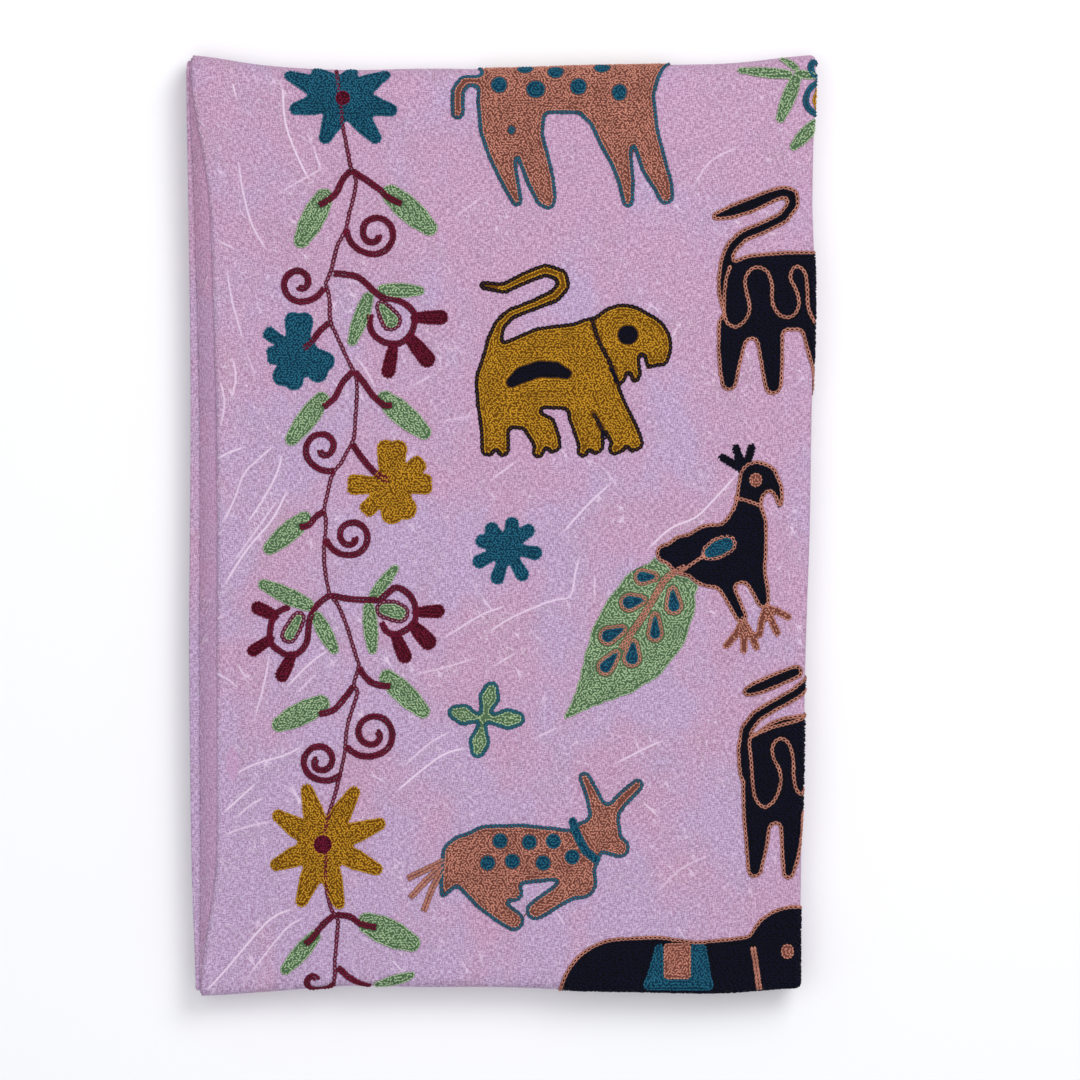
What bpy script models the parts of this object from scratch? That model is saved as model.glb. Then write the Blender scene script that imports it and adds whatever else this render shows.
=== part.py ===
"""A suzani bedcover: one hemmed cotton cloth, folded in quarters both ways and lying flat.

The cloth is folded in half and in half again across its width, which makes a strip of four layers.
The strip is then folded in half and in half again along its length, which stacks it four deep.
+X runs from the hemmed side to the folded side, +Y along the long edge, and it rests on Z = 0.
"""

import math
from collections import namedtuple

import bmesh
import bpy
from mathutils import Vector

# The flat cloth, about 60 by 90 inches
CLOTH_WIDTH = 1.524
CLOTH_LENGTH = 2.260
CLOTH_THICK = 0.0012

# Centre to centre of two layers of a strip, and of two strips of the stack
LAYER_PITCH = 0.0017
STRIP_PITCH = 0.0069

# How far each side hem lies back from the fold under it, from the -Y end to the +Y end
TOP_HEM_BACK = (0.0023, 0.0140, 0.0158, 0.0165, 0.0159, 0.0149, 0.0134, 0.0117, 0.0020)
UNDER_HEM_BACK = (0.0015, 0.0045, 0.0052, 0.0054, 0.0052, 0.0046, 0.0034, 0.0024, 0.0008)

# How far the two end hems lie back from the folds that they lie between
END_HEM_BACK = 0.0025

# Mesh steps along each run, and round a fold
RUN_STEPS = 8
SMALL_TURN_STEPS = 4
BIG_TURN_STEPS = 5

CLOTH_COLOUR = (0.53, 0.35, 0.50, 1.0)
CLOTH_ROUGHNESS = 0.92

# The stretches of a strip that is folded in half and in half again, from its first free edge.
# Levels and radii are in pitches. A turn's side is +1 at the far edge and -1 at the near edge,
# and its spin is +1 where it goes on round the way the first turn went.
Stretch = namedtuple("Stretch", "name kind level radius side spin")
QUARTERED = (
    Stretch("first", "run", 1.5, 0.0, 0, 0),
    Stretch("outer_turn", "turn", 0.0, 1.5, 1, 1),
    Stretch("second", "run", -1.5, 0.0, 0, 0),
    Stretch("near_turn", "turn", -1.0, 0.5, -1, 1),
    Stretch("third", "run", -0.5, 0.0, 0, 0),
    Stretch("inner_turn", "turn", 0.0, 0.5, 1, -1),
    Stretch("fourth", "run", 0.5, 0.0, 0, 0),
)

# How far each edge of the stack wanders out of straight, at even shares of that edge.
# The sides run from the -Y end to the +Y end, and the ends from the -X side to the +X side.
HEM_SIDE_WANDER = (0.0030, 0.0006, -0.0004, -0.0010, -0.0005, -0.0001, -0.0006, -0.0016, -0.0026)
FOLD_SIDE_WANDER = (-0.0074, -0.0066, -0.0050, -0.0036, -0.0012, -0.0002, 0.0021, 0.0002, 0.0024)
LOW_END_WANDER = (-0.0060, -0.0032, 0.0002, -0.0004, -0.0004, -0.0020, -0.0029, -0.0034, -0.0004)
HIGH_END_WANDER = (0.0046, -0.0018, -0.0044, -0.0036, -0.0038, -0.0024, -0.0015, -0.0003, 0.0046)

# How far the lowest strip stands out past the top one, at the two ends and at the folded side
LOW_END_STAND_OUT = 0.0015
HIGH_END_STAND_OUT = 0.0045
FOLD_SIDE_STAND_OUT = 0.0015

# The stack is springy at its folds: how much higher than its middle it stands there
FOLD_LOFT = 0.10
FOLD_LOFT_REACH = 0.07

# It rests on its corners: how far the flat middle of its underside stands off the surface, and
# how near to a corner, as a share, it starts to slope down to it
UNDERSIDE_ARCH = 0.0003
CORNER_SHARE = 0.7

# Low swells of the stack: where each is as shares of the plan, its reach and its share of height
Swell = namedtuple("Swell", "across along reach height")
SWELLS = (
    Swell(0.08, 0.05, 0.070, -0.10),
    Swell(0.30, 0.20, 0.110, 0.07),
    Swell(0.72, 0.38, 0.120, -0.05),
    Swell(0.20, 0.62, 0.100, -0.06),
    Swell(0.55, 0.70, 0.130, 0.06),
    Swell(0.92, 0.86, 0.070, 0.06),
)

NODE_NAME = "folded_cloth"
COLLECTION_NAME = "suzani_bedcover"

# One station along a folded strip: its stretch, its share of the way from the near edge to the
# far edge, its bulge past that edge, its level, and which way the cloth's right side faces there
Station = namedtuple("Station", "stretch share bulge level face_out face_up")


def run_stations(stretch, level, face, heading_far):
    """The stations along one flat run."""
    shares = [step / RUN_STEPS for step in range(RUN_STEPS + 1)]
    if not heading_far:
        shares.reverse()
    return [Station(stretch.name, share, 0.0, level, 0.0, face) for share in shares]


def turn_stations(stretch, centre, radius, first_up, steps):
    """The stations round one turn, between the two runs that it joins."""
    stations = []
    for step in range(1, steps):
        angle = math.pi * step / steps
        out = math.sin(angle)
        up = math.cos(angle) * first_up
        stations.append(
            Station(
                stretch.name,
                1.0 if stretch.side > 0 else 0.0,
                stretch.side * radius * out,
                centre + radius * up,
                stretch.side * stretch.spin * out,
                stretch.spin * up,
            )
        )
    return stations


def quartered_stations(pitch, upwards, turn_steps):
    """The stations along a strip folded in half twice. Upwards is +1 if its first run is on top."""
    stations = []
    heading_far = True
    face = upwards
    for stretch in QUARTERED:
        level = upwards * stretch.level * pitch
        if stretch.kind == "run":
            stations += run_stations(stretch, level, face, heading_far)
        else:
            first_up = upwards * stretch.side * stretch.spin
            stations += turn_stations(stretch, level, stretch.radius * pitch, first_up, turn_steps)
            heading_far = not heading_far
            face = -face
    return stations


def eased(values, share):
    """A smooth curve through values at even shares from 0 to 1."""
    place = min(max(share, 0.0), 1.0) * (len(values) - 1)
    index = min(int(place), len(values) - 2)
    part = place - index
    start, end = values[index], values[index + 1]
    slope_in = (end - values[max(index - 1, 0)]) / 2
    slope_out = (values[min(index + 2, len(values) - 1)] - start) / 2
    return (
        start
        + slope_in * part
        + (3 * (end - start) - 2 * slope_in - slope_out) * part**2
        + (2 * (start - end) + slope_in + slope_out) * part**3
    )


def fold_spacing(flat, pitch, held_back):
    """How far apart the fold lines are when the strip's flat length is used up."""
    turns = math.pi * pitch * sum(stretch.radius for stretch in QUARTERED)
    runs = sum(stretch.kind == "run" for stretch in QUARTERED)
    return (flat - turns + held_back) / runs


def mean(values):
    return sum(values) / len(values)


ACROSS_SPACING = fold_spacing(CLOTH_WIDTH, LAYER_PITCH, mean(TOP_HEM_BACK) + mean(UNDER_HEM_BACK))
ALONG_SPACING = fold_spacing(CLOTH_LENGTH, STRIP_PITCH, 2 * END_HEM_BACK)
STACK_HEIGHT = 3 * STRIP_PITCH + 3 * LAYER_PITCH + CLOTH_THICK
BOTTOM_LEVEL = CLOTH_THICK / 2


def folded_point(column, row):
    """Where the cloth lies at one station across its width and one along its length."""
    end_back = END_HEM_BACK if row.stretch in ("first", "fourth") else 0.0
    hem_backs = {"first": TOP_HEM_BACK, "fourth": UNDER_HEM_BACK}.get(column.stretch)
    hem_back = eased(hem_backs, row.share) if hem_backs else 0.0
    x = hem_back * (1 - column.share) + ACROSS_SPACING * column.share + column.bulge
    y = end_back * (1 - row.share) + ALONG_SPACING * row.share + row.bulge
    y += column.level * row.face_out
    z = STACK_HEIGHT / 2 + row.level + column.level * row.face_up
    return x, y, z


def loft(across, along):
    """How much higher than its flat height the stack stands here, as a share."""
    to_fold = min(along * ALONG_SPACING, (1 - along) * ALONG_SPACING, (1 - across) * ACROSS_SPACING)
    total = FOLD_LOFT * math.exp(-((max(to_fold, 0.0) / FOLD_LOFT_REACH) ** 2))
    for swell in SWELLS:
        away = math.hypot(
            (across - swell.across) * ACROSS_SPACING, (along - swell.along) * ALONG_SPACING
        )
        total += swell.height * math.exp(-((away / swell.reach) ** 2))
    return total


def as_it_lies(x, y, z):
    """Pushes the straight stack into the uneven shape in which it lies."""
    across = x / ACROSS_SPACING
    along = y / ALONG_SPACING
    depth = 1 - z / STACK_HEIGHT
    x += eased(HEM_SIDE_WANDER, along) * (1 - across) + eased(FOLD_SIDE_WANDER, along) * across
    y += eased(LOW_END_WANDER, across) * (1 - along) + eased(HIGH_END_WANDER, across) * along
    x += FOLD_SIDE_STAND_OUT * depth * across
    y += HIGH_END_STAND_OUT * depth * along - LOW_END_STAND_OUT * depth * (1 - along)
    off_corner = max(1 - ((2 * across - 1) * (2 * along - 1)) ** 2, 0.0)
    arch = UNDERSIDE_ARCH * depth * min(off_corner / CORNER_SHARE, 1.0)
    return Vector((x, y, BOTTOM_LEVEL + arch + (z - BOTTOM_LEVEL) * (1 + loft(across, along))))


def folded_cloth():
    """The cloth as a grid that is folded point by point, then given its thickness."""
    columns = quartered_stations(LAYER_PITCH, 1, SMALL_TURN_STEPS)
    rows = quartered_stations(STRIP_PITCH, -1, BIG_TURN_STEPS)
    last_column = len(columns) - 1
    last_row = len(rows) - 1
    cloth = bmesh.new()
    bmesh.ops.create_grid(cloth, x_segments=last_column, y_segments=last_row, size=1.0)
    for vert in cloth.verts:
        column = columns[round((vert.co.x + 1) / 2 * last_column)]
        row = rows[round((vert.co.y + 1) / 2 * last_row)]
        vert.co = as_it_lies(*folded_point(column, row))
    low = Vector(min(vert.co[axis] for vert in cloth.verts) for axis in range(3))
    high = Vector(max(vert.co[axis] for vert in cloth.verts) for axis in range(3))
    middle = (low + high) / 2
    onto_surface = (-middle.x, -middle.y, BOTTOM_LEVEL - low.z)
    bmesh.ops.translate(cloth, verts=cloth.verts, vec=onto_surface)
    mesh = bpy.data.meshes.new(NODE_NAME)
    cloth.to_mesh(mesh)
    cloth.free()
    mesh.shade_smooth()
    node = bpy.data.objects.new(NODE_NAME, mesh)
    thickness = node.modifiers.new("cloth thickness", "SOLIDIFY")
    thickness.thickness = CLOTH_THICK
    thickness.offset = 0.0
    thickness.use_even_offset = True
    return node


def pink_cotton():
    """The pink cotton ground."""
    material = bpy.data.materials.new("pink cotton")
    material.use_nodes = True
    shader = material.node_tree.nodes["Principled BSDF"]
    shader.inputs["Base Color"].default_value = CLOTH_COLOUR
    shader.inputs["Roughness"].default_value = CLOTH_ROUGHNESS
    shader.inputs["Metallic"].default_value = 0.0
    return material


for old in list(bpy.data.objects):
    bpy.data.objects.remove(old)
collection = bpy.data.collections.new(COLLECTION_NAME)
bpy.context.scene.collection.children.link(collection)
bedcover = folded_cloth()
bedcover.data.materials.append(pink_cotton())
collection.objects.link(bedcover)
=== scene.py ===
import math
from collections import namedtuple

import bmesh
import bpy
import numpy as np
from mathutils import Matrix


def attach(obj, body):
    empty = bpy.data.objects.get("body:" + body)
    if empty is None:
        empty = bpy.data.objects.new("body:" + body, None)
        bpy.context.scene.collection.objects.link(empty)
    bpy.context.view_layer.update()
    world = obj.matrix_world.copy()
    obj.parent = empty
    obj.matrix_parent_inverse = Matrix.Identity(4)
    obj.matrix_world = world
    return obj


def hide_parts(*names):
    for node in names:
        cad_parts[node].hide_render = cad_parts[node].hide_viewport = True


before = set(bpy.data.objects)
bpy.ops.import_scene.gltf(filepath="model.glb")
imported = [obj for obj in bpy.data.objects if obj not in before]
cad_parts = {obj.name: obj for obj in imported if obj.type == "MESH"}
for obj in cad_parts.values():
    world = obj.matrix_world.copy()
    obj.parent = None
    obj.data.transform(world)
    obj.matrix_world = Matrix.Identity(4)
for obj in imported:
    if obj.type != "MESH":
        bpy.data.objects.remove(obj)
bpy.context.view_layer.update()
MM = 0.001


# The ground cloth: one panel of napped pink cotton, 1.52 by 2.26 m, its edges turned and stitched.
# It is folded in half and in half again across its width, then in half and in half again along its
# length, so that its right side, with the embroidery, lies on top and underneath.
CLOTH_WIDTH = 1.524
CLOTH_LENGTH = 2.260
CLOTH_THICK = 0.0012
LAYER_PITCH = 0.0017
STRIP_PITCH = 0.0069

# How far each side hem lies back from the fold under it, from the -Y end to the +Y end
TOP_HEM_BACK = (0.0023, 0.0140, 0.0158, 0.0165, 0.0159, 0.0149, 0.0134, 0.0117, 0.0020)
UNDER_HEM_BACK = (0.0015, 0.0045, 0.0052, 0.0054, 0.0052, 0.0046, 0.0034, 0.0024, 0.0008)
END_HEM_BACK = 0.0025

# How far each edge of the stack wanders, from -Y to +Y and from -X to +X
HEM_SIDE_WANDER = (0.0030, 0.0006, -0.0004, -0.0010, -0.0005, -0.0001, -0.0006, -0.0016, -0.0026)
FOLD_SIDE_WANDER = (-0.0074, -0.0066, -0.0050, -0.0036, -0.0012, -0.0002, 0.0021, 0.0002, 0.0024)
LOW_END_WANDER = (-0.0060, -0.0032, 0.0002, -0.0004, -0.0004, -0.0020, -0.0029, -0.0034, -0.0004)
HIGH_END_WANDER = (0.0046, -0.0018, -0.0044, -0.0036, -0.0038, -0.0024, -0.0015, -0.0003, 0.0046)
LOW_END_STAND_OUT = 0.0015
HIGH_END_STAND_OUT = 0.0045
FOLD_SIDE_STAND_OUT = 0.0015
FOLD_LOFT = 0.10
FOLD_LOFT_REACH = 0.07
UNDERSIDE_ARCH = 0.0003
CORNER_SHARE = 0.7

# The stitches that run round the folds have this much room over the surface
STITCH_ROOM = 0.0011

Swell = namedtuple("Swell", "across along reach height")
SWELLS = (
    Swell(0.08, 0.05, 0.070, -0.10),
    Swell(0.30, 0.20, 0.110, 0.07),
    Swell(0.72, 0.38, 0.120, -0.05),
    Swell(0.20, 0.62, 0.100, -0.06),
    Swell(0.55, 0.70, 0.130, 0.06),
    Swell(0.92, 0.86, 0.070, 0.06),
)

# The stretches of a strip that is folded in half and in half again, from its first free edge
Stretch = namedtuple("Stretch", "name kind level radius side spin")
QUARTERED = (
    Stretch("first", "run", 1.5, 0.0, 0, 0),
    Stretch("outer_turn", "turn", 0.0, 1.5, 1, 1),
    Stretch("second", "run", -1.5, 0.0, 0, 0),
    Stretch("near_turn", "turn", -1.0, 0.5, -1, 1),
    Stretch("third", "run", -0.5, 0.0, 0, 0),
    Stretch("inner_turn", "turn", 0.0, 0.5, 1, -1),
    Stretch("fourth", "run", 0.5, 0.0, 0, 0),
)
Station = namedtuple("Station", "stretch share bulge level face_out face_up flat")


def folded_strip(pitch, upwards, spacing, showing, cells_showing, cells_hidden, cells_turn):
    """The stations along a strip folded in half twice. Upwards is +1 if its first run is on top."""
    stations = []
    heading_far = True
    face = upwards
    flat = 0.0
    for stretch in QUARTERED:
        level = upwards * stretch.level * pitch
        if stretch.kind == "run":
            cells = cells_showing if stretch.name == showing else cells_hidden
            for step in range(cells + 1):
                share = step / cells if heading_far else 1 - step / cells
                here = flat + spacing * step / cells
                stations.append(Station(stretch.name, share, 0.0, level, 0.0, face, here))
            flat += spacing
        else:
            first_up = upwards * stretch.side * stretch.spin
            radius = stretch.radius * pitch
            for step in range(1, cells_turn):
                angle = math.pi * step / cells_turn
                out, up = math.sin(angle), math.cos(angle) * first_up
                stations.append(
                    Station(
                        stretch.name,
                        1.0 if stretch.side > 0 else 0.0,
                        stretch.side * radius * out,
                        level + radius * up,
                        stretch.side * stretch.spin * out,
                        stretch.spin * up,
                        flat + radius * angle,
                    )
                )
            flat += math.pi * radius
            heading_far = not heading_far
            face = -face
    return stations


def eased(values, share):
    """A smooth curve through values at even shares from 0 to 1."""
    values = np.asarray(values)
    place = np.clip(share, 0.0, 1.0) * (len(values) - 1)
    index = np.minimum(place.astype(int), len(values) - 2)
    part = place - index
    start, end = values[index], values[index + 1]
    slope_in = (end - values[np.maximum(index - 1, 0)]) / 2
    slope_out = (values[np.minimum(index + 2, len(values) - 1)] - start) / 2
    bend = 3 * (end - start) - 2 * slope_in - slope_out
    sway = 2 * (start - end) + slope_in + slope_out
    return start + slope_in * part + bend * part**2 + sway * part**3


def fold_spacing(flat, pitch, held_back):
    """How far apart the fold lines are when the strip's flat length is used up."""
    turns = math.pi * pitch * sum(stretch.radius for stretch in QUARTERED)
    runs = sum(stretch.kind == "run" for stretch in QUARTERED)
    return (flat - turns + held_back) / runs


ACROSS_SPACING = fold_spacing(
    CLOTH_WIDTH, LAYER_PITCH, np.mean(TOP_HEM_BACK) + np.mean(UNDER_HEM_BACK)
)
ALONG_SPACING = fold_spacing(CLOTH_LENGTH, STRIP_PITCH, 2 * END_HEM_BACK)
STACK_HEIGHT = 3 * STRIP_PITCH + 3 * LAYER_PITCH + CLOTH_THICK
BOTTOM_LEVEL = CLOTH_THICK / 2

# The middle of the stack's plan lies this far past the middle between its fold lines
TURN_OFFSET = STRIP_PITCH / 2

# Soft creases of the top: from and to in mm from the middle of the plan, half width, height
SoftCrease = namedtuple("SoftCrease", "x0 y0 x1 y1 reach height")
SOFT_CREASES = (
    SoftCrease(-70, 236, -10, 212, 15, -0.9),
    SoftCrease(-12, 212, 60, 224, 16, -0.6),
    SoftCrease(-170, 286, -140, 276, 8, -0.7),
    SoftCrease(-171, 250, -168, 150, 4, 0.6),
    SoftCrease(-160, 225, -146, 172, 5, -0.5),
    SoftCrease(-170, 130, -172, -40, 4, 0.6),
    SoftCrease(-164, -60, -166, -150, 5, -0.6),
    SoftCrease(-165, -145, -163, -196, 7, -0.9),
    SoftCrease(-150, -150, -120, -136, 6, 0.5),
    SoftCrease(-176, -281, -144, -246, 5, 0.7),
    SoftCrease(-166, -283, -120, -250, 6, -0.5),
    SoftCrease(-60, -30, -10, 20, 9, 0.5),
    SoftCrease(-45, -60, 25, -25, 8, -0.5),
    SoftCrease(30, 5, 66, 40, 7, 0.5),
    SoftCrease(118, 10, 146, 40, 6, 0.6),
    SoftCrease(10, -150, 60, -112, 8, -0.6),
    SoftCrease(62, -235, 116, -190, 8, 0.6),
    SoftCrease(-70, -175, -36, -146, 6, 0.5),
    SoftCrease(90, -110, 150, -90, 9, -0.5),
    SoftCrease(-120, -236, -84, -206, 7, -0.4),
    SoftCrease(120, 180, 160, 205, 10, -0.6),
    SoftCrease(60, 170, 96, 132, 9, 0.4),
    SoftCrease(-160, 110, -158, 45, 5, -0.8),
    SoftCrease(-152, 60, -176, -10, 5, -0.7),
    SoftCrease(-170, -10, -140, 30, 4, 0.5),
    SoftCrease(-168, -100, -166, -200, 8, -1.0),
)


def to_segment(x, y, x0, y0, x1, y1):
    """Share along a straight line and signed distance to its left, for points in mm."""
    length = math.hypot(x1 - x0, y1 - y0)
    along_x, along_y = (x1 - x0) / length, (y1 - y0) / length
    share = ((x - x0) * along_x + (y - y0) * along_y) / length
    aside = (y - y0) * along_x - (x - x0) * along_y
    return share, aside, length


def relief(x, y):
    """How high the soft creases stand at a point of the plan, all in metres."""
    x, y = x / MM, y / MM
    total = np.zeros_like(x)
    for crease in SOFT_CREASES:
        share, aside, length = to_segment(x, y, crease.x0, crease.y0, crease.x1, crease.y1)
        past = np.maximum(np.abs(share - 0.5) - 0.5, 0.0) * length
        total += crease.height * np.exp(-(aside**2 + past**2) / crease.reach**2)
    return total * MM


def loft(across, along):
    """How much higher than its flat height the stack stands here, as a share."""
    to_fold = np.minimum(
        np.minimum(along, 1 - along) * ALONG_SPACING, (1 - across) * ACROSS_SPACING
    )
    total = FOLD_LOFT * np.exp(-((np.maximum(to_fold, 0.0) / FOLD_LOFT_REACH) ** 2))
    for swell in SWELLS:
        away = np.hypot(
            (across - swell.across) * ACROSS_SPACING, (along - swell.along) * ALONG_SPACING
        )
        total += swell.height * np.exp(-((away / swell.reach) ** 2))
    return total


def in_plan(x, y, z):
    """Where a point of the straight stack lies in the plan, with the wander of the edges."""
    across, along, depth = x / ACROSS_SPACING, y / ALONG_SPACING, 1 - z / STACK_HEIGHT
    x = x + eased(HEM_SIDE_WANDER, along) * (1 - across) + eased(FOLD_SIDE_WANDER, along) * across
    y = y + eased(LOW_END_WANDER, across) * (1 - along) + eased(HIGH_END_WANDER, across) * along
    x = x + FOLD_SIDE_STAND_OUT * depth * across
    y = y + HIGH_END_STAND_OUT * depth * along - LOW_END_STAND_OUT * depth * (1 - along)
    return x, y


def as_it_lies(x, y, z):
    """Pushes the straight stack into the uneven shape in which it lies, by the CAD's own rule."""
    across, along, depth = x / ACROSS_SPACING, y / ALONG_SPACING, 1 - z / STACK_HEIGHT
    off_corner = np.maximum(1 - ((2 * across - 1) * (2 * along - 1)) ** 2, 0.0)
    up = UNDERSIDE_ARCH * depth * np.minimum(off_corner / CORNER_SHARE, 1.0)
    up = up + STITCH_ROOM * np.clip(depth, 0.0, 1.0)
    lying_x, lying_y = in_plan(x, y, z)
    top_share = np.clip(1 - depth * 1.15, 0.0, 1.0)
    plan_x, plan_y = lying_x - ACROSS_SPACING / 2, lying_y - ALONG_SPACING / 2 - TURN_OFFSET
    up = up + relief(plan_x, plan_y) * top_share**2
    level = BOTTOM_LEVEL + up + (z - BOTTOM_LEVEL) * (1 + loft(across, along))
    return lying_x, lying_y, level


CELLS_ACROSS_TOP, CELLS_ALONG_TOP = 136, 186
CELLS_ACROSS_HIDDEN, CELLS_ALONG_HIDDEN = 12, 14
CELLS_SIDE_TURN, CELLS_END_TURN = 6, 8


def station_arrays(stations):
    """The stations' numbers as arrays, and whether each lies in a hemmed run."""
    numbers = np.array([station[1:] for station in stations]).T
    first = np.array([station.stretch == "first" for station in stations])
    fourth = np.array([station.stretch == "fourth" for station in stations])
    return numbers, first, fourth


columns = folded_strip(
    LAYER_PITCH, 1, ACROSS_SPACING, "first", CELLS_ACROSS_TOP, CELLS_ACROSS_HIDDEN, CELLS_SIDE_TURN
)
rows = folded_strip(
    STRIP_PITCH, -1, ALONG_SPACING, "second", CELLS_ALONG_TOP, CELLS_ALONG_HIDDEN, CELLS_END_TURN
)
sheet = bmesh.new()
bmesh.ops.create_grid(sheet, x_segments=len(columns) - 1, y_segments=len(rows) - 1, size=1.0)
cover_mesh = bpy.data.meshes.new("cover")
sheet.to_mesh(cover_mesh)
sheet.free()

flat_grid = np.empty(len(cover_mesh.vertices) * 3)
cover_mesh.vertices.foreach_get("co", flat_grid)
flat_grid = flat_grid.reshape(-1, 3)
at_column = np.rint((flat_grid[:, 0] + 1) / 2 * (len(columns) - 1)).astype(int)
at_row = np.rint((flat_grid[:, 1] + 1) / 2 * (len(rows) - 1)).astype(int)
column_numbers, top_hemmed, under_hemmed = station_arrays(columns)
row_numbers, end_hemmed, other_end_hemmed = station_arrays(rows)
c_share, c_bulge, c_level, _, _, c_flat = column_numbers[:, at_column]
r_share, r_bulge, r_level, r_out, r_up, r_flat = row_numbers[:, at_row]
hem_back = np.where(top_hemmed[at_column], eased(TOP_HEM_BACK, r_share), 0.0)
hem_back = np.where(under_hemmed[at_column], eased(UNDER_HEM_BACK, r_share), hem_back)
end_back = np.where((end_hemmed | other_end_hemmed)[at_row], END_HEM_BACK, 0.0)
lying = np.stack(
    as_it_lies(
        hem_back * (1 - c_share) + ACROSS_SPACING * c_share + c_bulge,
        end_back * (1 - r_share) + ALONG_SPACING * r_share + r_bulge + c_level * r_out,
        STACK_HEIGHT / 2 + r_level + c_level * r_up,
    ),
    axis=1,
)
middle = (lying.min(axis=0) + lying.max(axis=0)) / 2
onto_surface = np.array((-middle[0], -middle[1], BOTTOM_LEVEL + STITCH_ROOM - lying[:, 2].min()))
lying += onto_surface
cover_mesh.vertices.foreach_set("co", lying.ravel())
flat_map = cover_mesh.uv_layers.new(name="flat_cloth")
corner_vertex = np.empty(len(cover_mesh.loops), dtype=np.int32)
cover_mesh.loops.foreach_get("vertex_index", corner_vertex)
flat_map.data.foreach_set("uv", np.stack((c_flat, r_flat), axis=1)[corner_vertex].ravel())
cover_mesh.update()
cover_mesh.shade_smooth()

cover = bpy.data.objects.new("folded_cover", cover_mesh)
bpy.context.scene.collection.objects.link(cover)
thickness = cover.modifiers.new("cloth thickness", "SOLIDIFY")
thickness.thickness = CLOTH_THICK
thickness.offset = 0.0
thickness.use_even_offset = True
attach(cover, "root")
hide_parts("folded_cloth")


def fine_line(points, steps=6):
    """A smooth line through its points."""
    points = np.asarray(points, dtype=float)[:, :2]
    if len(points) < 3:
        return np.linspace(points[0], points[-1], steps + 1)
    padded = np.vstack((2 * points[0] - points[1], points, 2 * points[-1] - points[-2]))
    line = []
    for index in range(len(points) - 1):
        before, start, end, after = padded[index : index + 4]
        for step in range(steps):
            t = step / steps
            line.append(
                start
                + (end - before) / 2 * t
                + (before - 2.5 * start + 2 * end - 0.5 * after) * t**2
                + (1.5 * (start - end) + (after - before) / 2) * t**3
            )
    return np.array(line + [points[-1]])
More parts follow.
